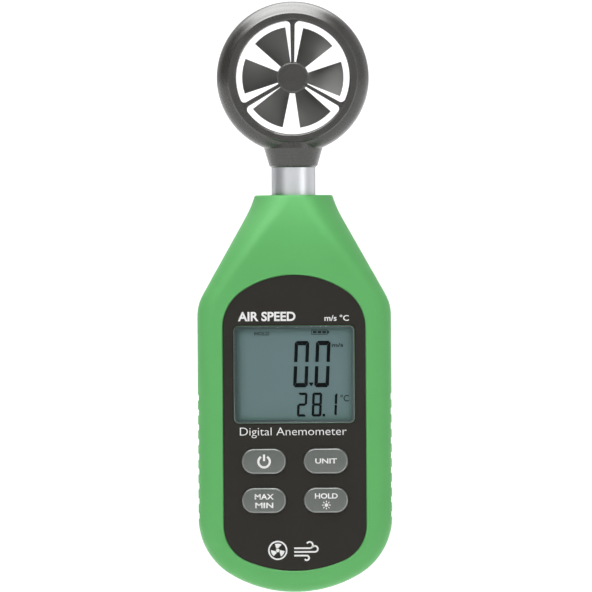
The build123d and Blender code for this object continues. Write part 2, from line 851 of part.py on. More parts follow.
# ---------------------------------------------------------------- circuit board
with BuildPart() as main_pcb:
    with BuildSketch(facing(board_back_y)):
        with Locations((0, (board_foot_z + board_top_z) / 2)):
            RectangleRounded(2 * board_half, board_top_z - board_foot_z, board_corner)
        with Locations(*board_screws_at):
            Circle(board_screw_radius + screw_gap, mode=Mode.SUBTRACT)
    extrude(amount=board_thickness)
save(main_pcb.part, "main_pcb")

board_parts = [  # x, height above the foot of the body, width, length, thickness
    (-9.0, 70.5, chip_side, chip_side, chip_thickness),
    (10.5, 72.0, 6.0, 5.0, chip_thickness),
    (-19.5, 60.0, 3.2, 8.0, 2.6),
    (19.5, 58.0, 3.0, 5.0, 1.6),
    (19.5, 48.0, 3.0, 2.0, 1.0),
    (19.5, 42.0, 3.0, 2.0, 1.0),
    (-19.5, 44.0, 3.0, 2.0, 1.0),
]
with BuildPart() as pcb_components:
    for x, height, width, length, thickness in board_parts:
        with BuildSketch(facing(board_back_y + thickness)):
            with Locations((x, bottom_z + height)):
                Rectangle(width, length)
        extrude(amount=thickness)
save(pcb_components.part, "pcb_components")

connector_z = bottom_z + connector_height
with BuildPart() as sensor_connector:
    with BuildSketch(facing(board_back_y + connector_depth)):
        with Locations((0, connector_z)):
            Rectangle(connector_width, connector_length)
    extrude(amount=connector_depth)
save(sensor_connector.part, "sensor_connector")

# ---------------------------------------------------------------- keys and their mat
with BuildPart() as keypad_mat:
    with BuildSketch(facing(board_front_y)):
        with Locations((0, (upper_row_z + lower_row_z) / 2)):
            RectangleRounded(
                key_spacing_x + key_width + 2 * mat_margin,
                upper_row_z - lower_row_z + key_height + 2 * mat_margin,
                key_corner,
            )
    extrude(amount=mat_thickness)
    with BuildSketch(facing(mat_front_y)):
        with Locations(*keys_at.values()):
            Circle(dome_radius)
    extrude(amount=dome_height, taper=20)
save(keypad_mat.part, "keypad_mat")

for name, place in keys_at.items():
    with BuildPart() as key:
        with BuildSketch(facing(key_back_y)):
            with Locations(place):
                RectangleRounded(key_width, key_height, key_corner)
        extrude(amount=key_back_y - panel_face_y + key_proud)
        fillet(key.edges().group_by(Axis.Y)[0], key_rounding)
        with BuildSketch(facing(key_flange_y + key_flange_thickness)):
            with Locations(place):
                RectangleRounded(
                    key_width + 2 * key_flange, key_height + 2 * key_flange, key_corner + key_flange
                )
        extrude(amount=key_flange_thickness)
    save(key.part, name)

# ---------------------------------------------------------------- neck tube
with BuildPart() as neck_tube:
    with BuildSketch(level(tube_foot_z)):
        Circle(tube_radius)
    extrude(amount=collar_foot_z - tube_foot_z)
    with BuildSketch(level(flange_top_z - flange_thickness)):
        RectangleRounded(flange_side, flange_side, flange_corner)
    extrude(amount=flange_thickness)
    with BuildSketch(level(tube_foot_z)):
        Circle(tube_bore)
    extrude(amount=collar_foot_z - tube_foot_z, mode=Mode.SUBTRACT)
save(neck_tube.part, "neck_tube")

# ---------------------------------------------------------------- head shells
collar_top_z = collar_foot_z + (collar_top_radius - collar_radius) / tan(radians(collar_taper))
hollow_inner = duct_radius + duct_wall
hollow_outer = head_radius - head_wall
duct_floor_z = head_z - duct_radius

with BuildPart() as ring:
    with BuildSketch(Plane(head_centre)):
        with BuildLine():
            Line((duct_radius, 0), (head_radius, 0))
            Line((head_radius, 0), (head_radius, head_shoulder))
            rim_foot = (rim_foot_radius, half_duct - rim_step)
            TangentArc((head_radius, head_shoulder), rim_foot, tangent=(0, 1))
            lip_start = (duct_radius + duct_rounding, half_duct)
            lip_end = (duct_radius, half_duct - duct_rounding)
            Polyline(rim_foot, (rim_radius, half_duct), lip_start)
            TangentArc(lip_start, lip_end, tangent=(-1, 0))
            Line(lip_end, (duct_radius, 0))
        make_face()
        mirror(about=Plane.XZ)
    revolve(axis=vane_axis)

with BuildPart() as head_space:  # hollow of the ring, sensor room, cable way and two windows
    with BuildSketch(Plane(head_centre)):
        Polygon(
            (hollow_inner, -hollow_depth),
            (rim_foot_radius, -hollow_depth),
            (hollow_outer, -head_shoulder),
            (hollow_outer, head_shoulder),
            (rim_foot_radius, hollow_depth),
            (hollow_inner, hollow_depth),
            align=None,
        )
    revolve(axis=vane_axis)
    with BuildSketch(level(sensor_floor_z)):
        Circle(sensor_room_radius)
    extrude(amount=head_z - sensor_floor_z)
    with BuildSketch(across_duct(half_duct + 1)):
        Circle(hollow_inner)
    extrude(amount=head_depth + 2, mode=Mode.SUBTRACT)
    with BuildSketch(level(collar_foot_z - spigot_length - 1)):
        Circle(spigot_bore)
    extrude(amount=sensor_floor_z - collar_foot_z + spigot_length + 2)
    with BuildSketch(level(sensor_floor_z + 1)):
        Circle(optic_window_radius)
        with Locations((0, bead_setback)):
            Circle(bead_hole_radius)
    extrude(amount=duct_floor_z - sensor_floor_z)

with BuildPart() as head_body:
    with BuildSketch(level(collar_foot_z)):
        Circle(collar_radius)
    with BuildSketch(level(collar_top_z)):
        Circle(collar_top_radius)
    loft()
    chamfer(head_body.edges().filter_by(GeomType.CIRCLE).sort_by(Axis.Z)[0], collar_foot_chamfer)
    with BuildSketch(level(collar_top_z)):
        Circle(collar_top_radius)
    extrude(amount=duct_floor_z - collar_top_z + 3)
    with BuildSketch(across_duct(half_duct + 1)):
        Circle(duct_radius)
    extrude(amount=head_depth + 2, mode=Mode.SUBTRACT)
    add(ring.part)
    with BuildSketch(level(collar_foot_z - spigot_length)):
        Circle(spigot_radius)
    extrude(amount=spigot_length + 1)
    add(head_space.part, mode=Mode.SUBTRACT)


def spider(side):
    """Spokes and bearing hub of one shell. side is -1 for the front shell and +1 for the rear one."""
    outer = half_duct - spoke_setback
    rear = outer if side > 0 else spoke_depth - outer
    land_radius = duct_radius - spoke_land
    with BuildPart() as result:
        with BuildSketch(across_duct(rear)) as spokes:
            Circle(duct_radius + duct_wall / 2)
            Circle(land_radius, mode=Mode.SUBTRACT)
            with PolarLocations(0, spoke_count, start_angle=90):
                Polygon(
                    (0, -spoke_tip_width / 2),
                    (duct_radius + duct_wall / 4, -spoke_root_width / 2),
                    (duct_radius + duct_wall / 4, spoke_root_width / 2),
                    (0, spoke_tip_width / 2),
                    align=None,
                )
            roots = [v for v in spokes.vertices() if abs(hypot(v.X, v.Y) - land_radius) < 0.01]
            fillet(roots, spoke_root_fillet)
        extrude(amount=spoke_depth)
        hub_plane = Plane((0, mid_y + side * hub_inner, head_z), z_dir=(0, side, 0))
        with BuildSketch(hub_plane):
            Circle(spider_hub_radius)
        extrude(amount=spider_hub_depth)
        rims = result.edges().filter_by(GeomType.CIRCLE).sort_by(Axis.Y)
        fillet(rims[-1 if side > 0 else 0], spider_hub_rounding)
        with BuildSketch(hub_plane):
            Circle(jewel_radius + jewel_gap)
        extrude(amount=jewel_length, mode=Mode.SUBTRACT)
    return result.part


def head_lip_ring(gap, height):
    """Band in the ring's outer wall, behind the seam, for the front shell's lip."""
    with BuildPart() as result:
        with BuildSketch(across_duct(height)):
            Circle(hollow_outer + head_lip - gap)
            Circle(hollow_outer, mode=Mode.SUBTRACT)
        extrude(amount=height + 0.3)
        with BuildSketch(level(collar_foot_z)):  # none across the collar
            Circle(collar_top_radius + 1)
        extrude(amount=head_z - collar_foot_z, mode=Mode.SUBTRACT)
    return result.part


with BuildPart() as head_front_shell:
    add(head_body.part)
    split(bisect_by=facing(mid_y), keep=Keep.TOP)
    add(spider(-1))
    add(head_lip_ring(lip_gap / 2, head_lip_height))
save(head_front_shell.part, "head_front_shell")

with BuildPart() as head_rear_shell:
    add(head_body.part)
    split(bisect_by=facing(mid_y), keep=Keep.BOTTOM)
    add(spider(1))
    add(head_lip_ring(-lip_gap / 2, head_lip_height + lip_gap), mode=Mode.SUBTRACT)
save(head_rear_shell.part, "head_rear_shell")

# ---------------------------------------------------------------- bearings, vane and shaft
for name, side in (("front_jewel", -1), ("rear_jewel", 1)):
    seat = Plane((0, mid_y + side * hub_inner, head_z), z_dir=(0, side, 0))
    with BuildPart() as jewel:
        with BuildSketch(seat):
            Circle(jewel_radius)
        extrude(amount=jewel_length)
        with BuildSketch(seat):
            Circle(shaft_radius + shaft_clearance)
        extrude(amount=jewel_length - jewel_floor, mode=Mode.SUBTRACT)
    save(jewel.part, name)

with BuildPart() as rotor_shaft:
    with BuildSketch(across_duct(shaft_half)):
        Circle(shaft_radius)
    extrude(amount=2 * shaft_half)
    chamfer(rotor_shaft.edges().filter_by(GeomType.CIRCLE), shaft_radius * 0.4)
save(rotor_shaft.part, "rotor_shaft")

blade_root = vane_hub_radius * 0.8
blade_tip = blade_radius + 1
with BuildPart() as blade:
    for k in range(blade_stations):
        share = k / (blade_stations - 1) - 0.5
        turn = radians(blade_offset + blade_sweep * share)
        outward = Vector(cos(turn), 0, sin(turn))
        station = Plane(
            head_centre + Vector(0, (blade_axial - blade_thickness) * share, 0),
            x_dir=outward,
            z_dir=outward.cross(Vector(0, 1, 0)),
        )
        with BuildSketch(station):
            with Locations(((blade_root + blade_tip) / 2, 0)):
                Rectangle(blade_tip - blade_root, blade_thickness)
    loft()

with BuildPart() as vane_hub:
    with BuildSketch(across_duct(vane_hub_length / 2)):
        Circle(vane_hub_radius)
    extrude(amount=vane_hub_length)
    fillet(vane_hub.edges().filter_by(GeomType.CIRCLE), vane_hub_rounding)

with BuildPart() as impeller:
    for k in range(blade_count):
        add(blade.part.rotate(vane_axis, k * 360 / blade_count))
    with BuildSketch(across_duct(vane_hub_length / 2)):
        Circle(blade_radius)
    extrude(amount=vane_hub_length, mode=Mode.INTERSECT)
    add(vane_hub.part)
    with BuildSketch(across_duct(vane_hub_length / 2)):
        Circle(shaft_radius + shaft_seat_gap)
    extrude(amount=vane_hub_length, mode=Mode.SUBTRACT)
save(impeller.part, "impeller")

# ---------------------------------------------------------------- sensors and their cable
with BuildPart() as sensor_board:
    with BuildSketch(level(sensor_floor_z)):
        Rectangle(sensor_board_width, sensor_board_depth)
    extrude(amount=sensor_board_thickness)
save(sensor_board.part, "sensor_board")

sensor_z = sensor_floor_z + sensor_board_thickness
with BuildPart() as optical_sensor:
    with BuildSketch(level(sensor_z)):
        Rectangle(optic_width, optic_depth)
    extrude(amount=optic_height)
    with BuildSketch(level(sensor_z + optic_height)):
        with Locations((-optic_width / 4, 0), (optic_width / 4, 0)):
            Circle(optic_eye_radius)
    extrude(amount=optic_eye_radius / 2)
save(optical_sensor.part, "optical_sensor")

bead_z = duct_floor_z - bead_drop
with BuildPart() as thermistor:
    with BuildSketch(level(sensor_z)):
        with Locations((0, bead_setback)):
            Circle(bead_wire_radius)
    extrude(amount=bead_z - sensor_z)
    with Locations((0, mid_y + bead_setback, bead_z)):
        Sphere(bead_radius)
save(thermistor.part, "thermistor")

cable_end = (0, board_back_y + connector_depth / 2, connector_z + connector_length / 2)
with BuildPart() as sensor_cable:
    with BuildLine() as cable_path:
        drop = Line((0, mid_y, sensor_floor_z), (0, mid_y, neck_block_z))
        Spline(drop @ 1, cable_end, tangents=[(0, 0, -1), (0, 0, -1)])
    with BuildSketch(level(sensor_floor_z)):
        Circle(cable_radius)
    sweep(path=cable_path.line)
save(sensor_cable.part, "sensor_cable")
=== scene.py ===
# %% [markdown]
# # A pocket vane anemometer, finished in Blender
#
# The real object is a green plastic case about 16 cm tall. It has a display, four keys and a
# small ducted fan on a metal neck. Its shapes arrive as solid CAD parts, already made to size.
# This lesson adds what they lack: printing, the reading on the display, a cut thread, and
# materials with the fine detail of real plastic and metal. Everything is in metres and in the
# frame of the CAD parts, so no piece has to be fitted by eye.

# %% Load the CAD parts
from math import cos, pi, radians, sin, tan

import bmesh
import bpy
from mathutils import Matrix, Vector


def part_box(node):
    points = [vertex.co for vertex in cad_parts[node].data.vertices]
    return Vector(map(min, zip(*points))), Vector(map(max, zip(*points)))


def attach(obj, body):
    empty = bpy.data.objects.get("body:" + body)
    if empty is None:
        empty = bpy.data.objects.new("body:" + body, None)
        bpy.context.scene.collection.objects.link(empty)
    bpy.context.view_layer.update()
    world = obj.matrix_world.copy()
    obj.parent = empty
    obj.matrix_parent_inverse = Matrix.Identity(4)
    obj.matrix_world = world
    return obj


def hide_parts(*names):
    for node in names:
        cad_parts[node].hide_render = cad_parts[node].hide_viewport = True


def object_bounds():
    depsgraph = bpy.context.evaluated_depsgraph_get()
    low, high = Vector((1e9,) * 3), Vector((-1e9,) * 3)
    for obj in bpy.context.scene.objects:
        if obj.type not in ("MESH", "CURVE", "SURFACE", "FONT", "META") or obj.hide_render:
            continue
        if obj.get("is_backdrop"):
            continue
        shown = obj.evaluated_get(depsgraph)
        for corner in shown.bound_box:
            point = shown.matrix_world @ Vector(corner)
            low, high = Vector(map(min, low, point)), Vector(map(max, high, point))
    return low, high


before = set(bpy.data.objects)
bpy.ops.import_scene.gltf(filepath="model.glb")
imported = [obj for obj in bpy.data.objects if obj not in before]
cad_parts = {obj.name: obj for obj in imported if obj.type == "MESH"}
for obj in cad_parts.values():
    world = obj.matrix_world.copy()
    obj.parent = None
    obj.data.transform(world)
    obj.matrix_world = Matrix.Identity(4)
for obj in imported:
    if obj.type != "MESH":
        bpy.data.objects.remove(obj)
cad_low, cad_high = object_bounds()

print("size in mm:", [round(v * 1000, 1) for v in cad_high - cad_low])

# %% [markdown]
# ## Sizes that several steps share
#
# Places are read from the CAD parts, never typed in, so a change to a part moves its printing
# too. A small function gives the middle of a part. Sizes of printed marks are in millimetres,
# because nobody thinks of a 2 mm letter as 0.002 m, and one factor turns them into metres.

# %% Millimetres and the middle of a part
MM = 0.001


def middle(node):
    """The middle of a CAD part's box, in metres."""
    low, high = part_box(node)
    return (low + high) / 2


panel_face_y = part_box("front_panel")[0].y
glass_face_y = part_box("lcd_glass")[0].y
lens_low, lens_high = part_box("display_lens")
hub = middle("impeller")
window = middle("display_lens")
print("window centre (mm):", [round(v / MM, 2) for v in window])
print("fan centre (mm):", [round(v / MM, 2) for v in hub])

# %% [markdown]
# ## Arithmetic on shader sockets
#
# A procedural material is a sum worked out at every point of a surface. Drawing that sum as a
# web of nodes by hand is slow to read, so this class wraps one output socket and lets Python's
# own operators add the Math nodes: `1 - mask` is a Subtract node. Colours and places are
# vectors, and a Math node would turn them grey, so they go through Vector Math instead.


# %% A socket that can be added and multiplied
class Wire:
    """One output socket of a node, for use in sums."""

    def __init__(self, finish, socket):
        self.finish = finish
        self.socket = socket

    def sum_node(self, operation, *values):
        """The result of a Math node, or of a Vector Math node where a vector takes part."""
        wires = [v for v in values if isinstance(v, Wire)]
        flat = all(w.socket.type == "VALUE" for w in wires)
        if flat and not any(isinstance(v, (tuple, Vector)) for v in values):
            return self.finish.node(
                "ShaderNodeMath", {"operation": operation}, dict(enumerate(values))
            )
        vectors = [(v, v, v) if isinstance(v, (int, float)) else v for v in values]
        return self.finish.node(
            "ShaderNodeVectorMath", {"operation": operation}, dict(enumerate(vectors))
        )

    def __add__(self, other):
        return self.sum_node("ADD", self, other)

    def __radd__(self, other):
        return self.sum_node("ADD", other, self)

    def __sub__(self, other):
        return self.sum_node("SUBTRACT", self, other)

    def __rsub__(self, other):
        return self.sum_node("SUBTRACT", other, self)

    def __mul__(self, other):
        return self.sum_node("MULTIPLY", self, other)

    def __rmul__(self, other):
        return self.sum_node("MULTIPLY", other, self)

    def __pow__(self, other):
        return self.sum_node("POWER", self, other)

    def __abs__(self):
        return self.sum_node("ABSOLUTE", self)

    def most(self, other):
        """The larger of two values."""
        return self.sum_node("MAXIMUM", self, other)

    def least(self, other):
        """The smaller of two values."""
        return self.sum_node("MINIMUM", self, other)

    def wave(self, length):
        """A sine wave between 0 and 1 that repeats after length."""
        return self.sum_node("SINE", self * (2 * pi / length)) * 0.5 + 0.5

    def rise(self, start, end):
        """0 below start, 1 above end, and a smooth step between. start may be the larger."""
        low, high = min(start, end), max(start, end)
        step = self.finish.node(
            "ShaderNodeMapRange",
            {"interpolation_type": "SMOOTHSTEP"},
            {"Value": self, "From Min": low, "From Max": high},
        )
        return step if start < end else 1 - step

    def parts(self):
        """The x, y and z of a vector."""
        return [
            self.finish.node("ShaderNodeSeparateXYZ", {}, {0: self}, out=k) for k in range(3)
        ]


print("operators:", [n for n in vars(Wire) if n.startswith("__") and n != "__init__"])

# %% [markdown]
# ## A finish
#
# A finish is one material with its Principled shader. What is the same all over a surface is
# set once, as a plain number on the shader. What changes from place to place is a Wire fed to
# one of a few sockets: colour, roughness, metal, coat, alpha or the bump. All patterns are
# measured in millimetres on the object itself, so that a grain of 0.2 mm is 0.2 mm on every
# part, and it stays on the part when the part moves.


# %% A material and the one method that adds any node
class Finish:
    """A procedural material, built up by method calls."""

    def __init__(self, name, constants):
        self.material = bpy.data.materials.new(name)
        self.material.use_nodes = True
        self.tree = self.material.node_tree
        self.shader = self.tree.nodes["Principled BSDF"]
        for socket, value in constants.items():
            self.put(self.shader.inputs[socket], value)

    def put(self, socket, value):
        """Links a Wire to an input socket, or sets a plain value on it."""
        if isinstance(value, Wire):
            self.tree.links.new(value.socket, socket)
        elif socket.type == "RGBA":
            socket.default_value = (*value[:3], 1.0)
        else:
            socket.default_value = value

    def node(self, kind, settings, sockets, out=0):
        """Adds a node: its settings first, then its sockets. Returns one output as a Wire.

        With out=None every output comes back, by name.
        """
        made = self.tree.nodes.new(kind)
        for name, value in settings.items():
            setattr(made, name, value)
        for name, value in sockets.items():
            self.put(made.inputs[name], value)
        if out is None:
            return {socket.name: Wire(self, socket) for socket in made.outputs}
        return Wire(self, made.outputs[out])

    def feed(self, socket, value):
        """Feeds a socket of the Principled shader."""
        self.put(self.shader.inputs[socket], value)


print("finish methods:", [n for n in vars(Finish) if not n.startswith("_")])

# %% [markdown]
# ## Patterns that most finishes use
#
# Moulded plastic is never quite even. The mould's surface leaves a fine texture, the colour
# wanders a little with the flow of the melt, and handling polishes what stands proud. Noise at
# three sizes gives that. A signed distance to a rounded rectangle finds the edge of a key or a
# window, which noise alone can't do.


# %% Places, noise, mixes and bumps
def place(finish):
    """The point on the surface in the object's own frame, in millimetres."""
    here = finish.node("ShaderNodeTexCoord", {}, {}, out="Object")
    return here * (1 / MM)


def noise(finish, where, size, detail=2.0):
    """Soft noise between 0 and 1 whose lumps are about size millimetres wide."""
    return finish.node(
        "ShaderNodeTexNoise",
        {"noise_dimensions": "3D"},
        {"Vector": where, "Scale": 1 / size, "Detail": detail},
    )


def mix(finish, share, first, second):
    """first where share is 0, second where it is 1. Both are colours."""
    return finish.node(
        "ShaderNodeMix",
        {"data_type": "RGBA"},
        {0: share, 6: first, 7: second},
        out=2,
    )


def bump(finish, height, depth):
    """Feeds the shader's normal from height, which is worth depth millimetres at 1."""
    finish.feed(
        "Normal",
        finish.node("ShaderNodeBump", {}, {"Distance": depth * MM, "Height": height}),
    )


def rounded_edge(x, z, centre, width, height, corner):
    """Distance to a rounded rectangle's outline in mm, below 0 inside. centre is in metres."""
    out_x = abs(x - centre.x / MM) - (width / 2 - corner)
    out_z = abs(z - centre.z / MM) - (height / 2 - corner)
    beyond = (out_x.most(0) ** 2 + out_z.most(0) ** 2) ** 0.5
    return beyond + out_x.most(out_z).least(0) - corner


def shade(colour, factor):
    """A colour made lighter or darker."""
    return tuple(min(1.0, c * factor) for c in colour)


print("pattern helpers ready")

# %% [markdown]
# ## Moulded plastic
#
# The green case, the dark head and the small black parts all come out of steel moulds with an
# etched, slightly matt surface. They differ in colour, gloss and in how coarse the etching is,
# so one function makes all of them. Three images could do the same, but noise has no seams and
# needs no unwrapping.


# %% One recipe for moulded plastic
def moulded(name, colour, roughness, grain=0.16, depth=0.004, coat=0.0, shine=0.5):
    """A Finish for moulded plastic. grain and depth are the etching's, in millimetres."""
    finish = Finish(
        name,
        {"IOR": 1.5, "Specular IOR Level": shine, "Coat Weight": coat, "Coat Roughness": 0.25},
    )
    where = place(finish)
    flow = noise(finish, where, 9.0)
    speck = noise(finish, where, 0.5)
    etching = noise(finish, where, grain, detail=3.0)
    wander = flow * 0.7 + speck * 0.3
    finish.feed("Base Color", mix(finish, wander, shade(colour, 0.95), shade(colour, 1.05)))
    finish.feed("Roughness", etching * 0.12 + (flow * 0.06 + (roughness - 0.09)))
    bump(finish, etching, depth)
    return finish


GREEN = (0.135, 0.505, 0.150)
green_case = moulded("green_case_plastic", GREEN, 0.44, shine=0.28)
green_door = moulded("green_door_plastic", shade(GREEN, 0.99), 0.45, shine=0.28)
head_plastic = moulded(
    "dark_head_plastic", (0.046, 0.0445, 0.041), 0.28, grain=0.2, depth=0.002, coat=0.2
)
vane_plastic = moulded("grey_vane_plastic", (0.190, 0.189, 0.180), 0.42, grain=0.3, depth=0.003)
black_plastic = moulded("black_plastic", (0.018, 0.018, 0.019), 0.5)
white_plastic = moulded("white_plastic", (0.72, 0.72, 0.68), 0.38, grain=0.25, depth=0.002)
print("moulded finishes:", len([m for m in bpy.data.materials if "plastic" in m.name]))

# %% [markdown]
# ## The front panel
#
# The dark field round the display is a separate printed sheet. Such sheets have a very fine,
# even velvet texture that scatters light, so they look matt and slightly warm. Next to the
# window the sheet is smoother, which shows as a thin line with more gloss.

# %% Velvet panel sheet
panel_sheet = Finish("velvet_panel_sheet", {"IOR": 1.5, "Specular IOR Level": 0.2})
where = place(panel_sheet)
velvet = noise(panel_sheet, where, 0.09, detail=1.0)
cloud = noise(panel_sheet, where, 14.0)
x, y, z = where.parts()
window_size = (lens_high - lens_low) / MM
from_window = rounded_edge(x, z, window, window_size.x, window_size.z, 1.5)
border = from_window.rise(0.55, 0.35)
panel_sheet.feed(
    "Base Color", mix(panel_sheet, cloud, (0.0115, 0.0100, 0.0070), (0.0150, 0.0132, 0.0102))
)
panel_sheet.feed("Roughness", velvet * 0.16 + 0.46 - border * 0.22)
bump(panel_sheet, velvet * (1 - border), 0.003)
print("panel sheet follows a window of", round(window_size.x, 2), "x", round(window_size.z, 2))

# %% [markdown]
# ## The window over the display
#
# The window is clear moulded plastic with a bevelled rim. Real refraction through it costs a lot of
# noise and bends almost nothing, because the plastic is thin and flat. A Transparent shader under a
# thin gloss looks the same and lets the lamps through. The gloss grows with the fifth power of the
# slant of the view, which holds for both faces of the sheet. Light that enters a real sheet leaves
# at its edge, so the bevel glows, most of all at the lower right. Here that glow is a painted
# highlight: a mask on the rim gives the bevel a pale colour and more solid gloss, strongest at the
# lower right.

# %% Clear window with a painted highlight on its rim
HEAD_ON_GLOSS = 0.04
WINDOW_CORNER = 1.4  # mm
clear_window = Finish("clear_window", {"IOR": 1.49})
where = place(clear_window)
x, y, z = where.parts()
from_edge = rounded_edge(x, z, window, window_size.x, window_size.z, WINDOW_CORNER)
# The rim mask picks out the bevel, which gets a painted highlight in its colour and a rougher
# surface.
rim = from_edge.rise(-0.34, -0.12)
scuffs = noise(clear_window, where * (1.0, 1.0, 6.0), 1.4)
# Painted highlight: the bevel's pale colour stands in for light leaving the edge of the sheet.
clear_window.feed("Base Color", mix(clear_window, rim, (0.02, 0.02, 0.02), (0.75, 0.80, 0.80)))
clear_window.feed("Roughness", scuffs * 0.05 + 0.04 + rim * 0.55)
slant = clear_window.node("ShaderNodeLayerWeight", {}, {"Blend": 0.5}, out="Facing")
gloss = slant**5 * (1 - HEAD_ON_GLOSS) + HEAD_ON_GLOSS
# Painted highlight: the rim is made paler and more solid towards the lower right, where that light
# would gather.
painted_glow_low_right = ((x - window.x / MM) * 0.04 - (z - window.z / MM) * 0.06).rise(-1.0, 0.6)
solid = (gloss * 0.8 + rim * (painted_glow_low_right * 0.28 + 0.12)).least(1.0)
see_through = clear_window.node("ShaderNodeBsdfTransparent", {}, {"Color": (0.93, 0.96, 0.96)})
surface = clear_window.node(
    "ShaderNodeMixShader",
    {},
    {0: solid, 1: see_through, 2: Wire(clear_window, clear_window.shader.outputs[0])},
)
clear_window.put(clear_window.tree.nodes["Material Output"].inputs["Surface"], surface)
print("window finish has", len(clear_window.tree.nodes), "nodes")

# %% [markdown]
# ## The display glass
#
# A reflective display is a grey-green reflector behind glass. It is not flat in colour: the foil has
# a fine sparkle, and the shadow of the frame around it is painted in as shade, darkest at the left
# and top.
# Its segments are nearly black where they are switched on, and grey where they are half on.
# Both have a trace of blue.

# %% Reflector and segments
OPEN_WIDTH, OPEN_HEIGHT, OPEN_CORNER = 31.2, 24.9, 1.1  # the bright field, in mm
display_glass = Finish("display_reflector", {"IOR": 1.5, "Specular IOR Level": 0.2})
where = place(display_glass)
x, y, z = where.parts()
left_edge, top_edge = lens_low.x / MM, lens_high.z / MM
# Painted shade: the colour darkens towards the left and top edges and towards the frame, where the
# frame's shadow falls.
from_left = (x - left_edge).rise(0.6, 4.0)
from_top = (top_edge - z).rise(0.4, 3.2)
to_frame = rounded_edge(x, z, window, OPEN_WIDTH, OPEN_HEIGHT, OPEN_CORNER)
open_field = to_frame.rise(0.3, -1.4)
sparkle = noise(display_glass, where, 0.07, detail=0.0)
# Painted frame shade added to the foil's own sparkle.
painted_shade_and_sparkle = from_left * 0.36 + from_top * 0.22 + open_field * 0.24 + sparkle * 0.18
display_glass.feed(
    "Base Color", mix(display_glass, painted_shade_and_sparkle, (0.120, 0.166, 0.168), (0.262, 0.350, 0.360))
)
display_glass.feed("Roughness", sparkle * 0.15 + 0.34)
bump(display_glass, sparkle, 0.002)


def segment_finish(name, dark, light):
    """A Finish for display segments, with a fine grain between two colours."""
    finish = Finish(name, {"IOR": 1.5, "Specular IOR Level": 0.1})
    grain = noise(finish, place(finish), 0.12)
    finish.feed("Base Color", mix(finish, grain, dark, light))
    finish.feed("Roughness", grain * 0.1 + 0.4)
    return finish


segment_black = segment_finish("segment_black", (0.002, 0.002, 0.003), (0.004, 0.005, 0.006))
segment_faint = segment_finish("segment_half_on", (0.030, 0.040, 0.042), (0.055, 0.074, 0.076))
print("display finishes ready")

# %% [markdown]
# ## Keys and printing ink
#
# The keys are smoky grey, slightly see-through plastic. Light soaks in from above and gathers along
# the lower and outer rim of a real key. Subsurface scattering can do that, but at this size it is
# slow, so the glow is painted: a mask from each key's own outline gives a painted highlight along
# the lower and outer edge, and the crown is painted lighter towards its bottom. The printing is
# white ink, a little uneven where it lies on the velvet.


# %% Smoky keys and white ink
CROWN_WIDTH, CROWN_HEIGHT, CROWN_CORNER = 11.9, 6.8, 3.2  # the crown of a key, in mm


def smoky_key(name, node):
    """A Finish for one key, with a painted highlight round the lower and outer edge of its crown and
    painted light on its lower crown.
    """
    finish = Finish(name, {"IOR": 1.49, "Coat Weight": 0.3, "Coat Roughness": 0.2})
    where = place(finish)
    x, y, z = where.parts()
    from_edge = rounded_edge(x, z, middle(node), CROWN_WIDTH, CROWN_HEIGHT, CROWN_CORNER)
    cloud = noise(finish, where, 2.2)
    rim_line = from_edge.rise(-0.42, -0.18)
    # Painted light: the crown is lighter towards its bottom, where light gathers in the key.
    below = (z - middle(node).z / MM).rise(2.6, -3.2)
    crown = mix(finish, cloud * 0.5 + below * 0.5, (0.115, 0.130, 0.118), (0.155, 0.168, 0.156))
    # Painted highlight: a pale line along the crown's lower and outer edge.
    beside = (x - middle(node).x / MM).rise(-2.0, 5.5)
    pale = rim_line * (below * 0.5 + beside * 0.25)
    finish.feed("Base Color", mix(finish, pale, crown, (0.62, 0.64, 0.62)))
    finish.feed("Roughness", cloud * 0.08 + 0.30)
    bump(finish, noise(finish, where, 0.2), 0.002)
    return finish


KEYS = {
    "key_power": "power_key",
    "key_unit": "unit_key",
    "key_max_min": "max_min_key",
    "key_hold_light": "hold_light_key",
}
key_finishes = {node: smoky_key(f"smoky_{node}", node) for node in KEYS}

white_ink = Finish("white_ink", {"IOR": 1.5})
cover = noise(white_ink, place(white_ink), 0.18)
white_ink.feed("Base Color", mix(white_ink, cover, (0.90, 0.90, 0.89), (0.96, 0.96, 0.95)))
white_ink.feed("Roughness", cover * 0.15 + 0.45)
bump(white_ink, cover, 0.003)
print("key finishes:", sorted(key_finishes))

# %% [markdown]
# ## Metals
#
# The neck is turned and satin anodised, so it has very fine rings round its axis. Rings come
# from noise that is squeezed along the axis and stretched across it. Screws are stamped and
# zinc plated, the thread insert is turned brass, and the battery contacts are bright nickel.
# All are fully metallic, and only their colour, roughness and marks differ.


# %% Turned and plated metal
def turned(name, colour, roughness, axis, pitch=0.07):
    """A metal Finish with turning rings along axis, which is 0, 1 or 2 for x, y or z."""
    finish = Finish(name, {"Metallic": 1.0})
    squeeze = tuple(1.0 if k == axis else 0.03 for k in range(3))
    where = place(finish)
    rings = noise(finish, where * squeeze, pitch, detail=3.0)
    haze = noise(finish, where, 2.5)
    finish.feed("Base Color", mix(finish, haze, shade(colour, 0.96), shade(colour, 1.03)))
    finish.feed("Roughness", rings * 0.14 + haze * 0.05 + (roughness - 0.09))
    bump(finish, rings, 0.0025)
    return finish


neck_metal = turned("satin_anodised_neck", (0.56, 0.57, 0.59), 0.34, axis=2)
shaft_steel = turned("ground_shaft_steel", (0.60, 0.60, 0.61), 0.2, axis=1, pitch=0.05)
screw_steel = turned("zinc_plated_screw", (0.56, 0.57, 0.58), 0.34, axis=1, pitch=0.2)
contact_nickel = turned("nickel_contact", (0.74, 0.72, 0.67), 0.24, axis=0, pitch=0.15)
brass = turned("turned_brass", (0.78, 0.56, 0.22), 0.28, axis=1, pitch=0.1)
metals = (neck_metal, shaft_steel, screw_steel, contact_nickel, brass)
print("metals:", [f.material.name for f in metals])
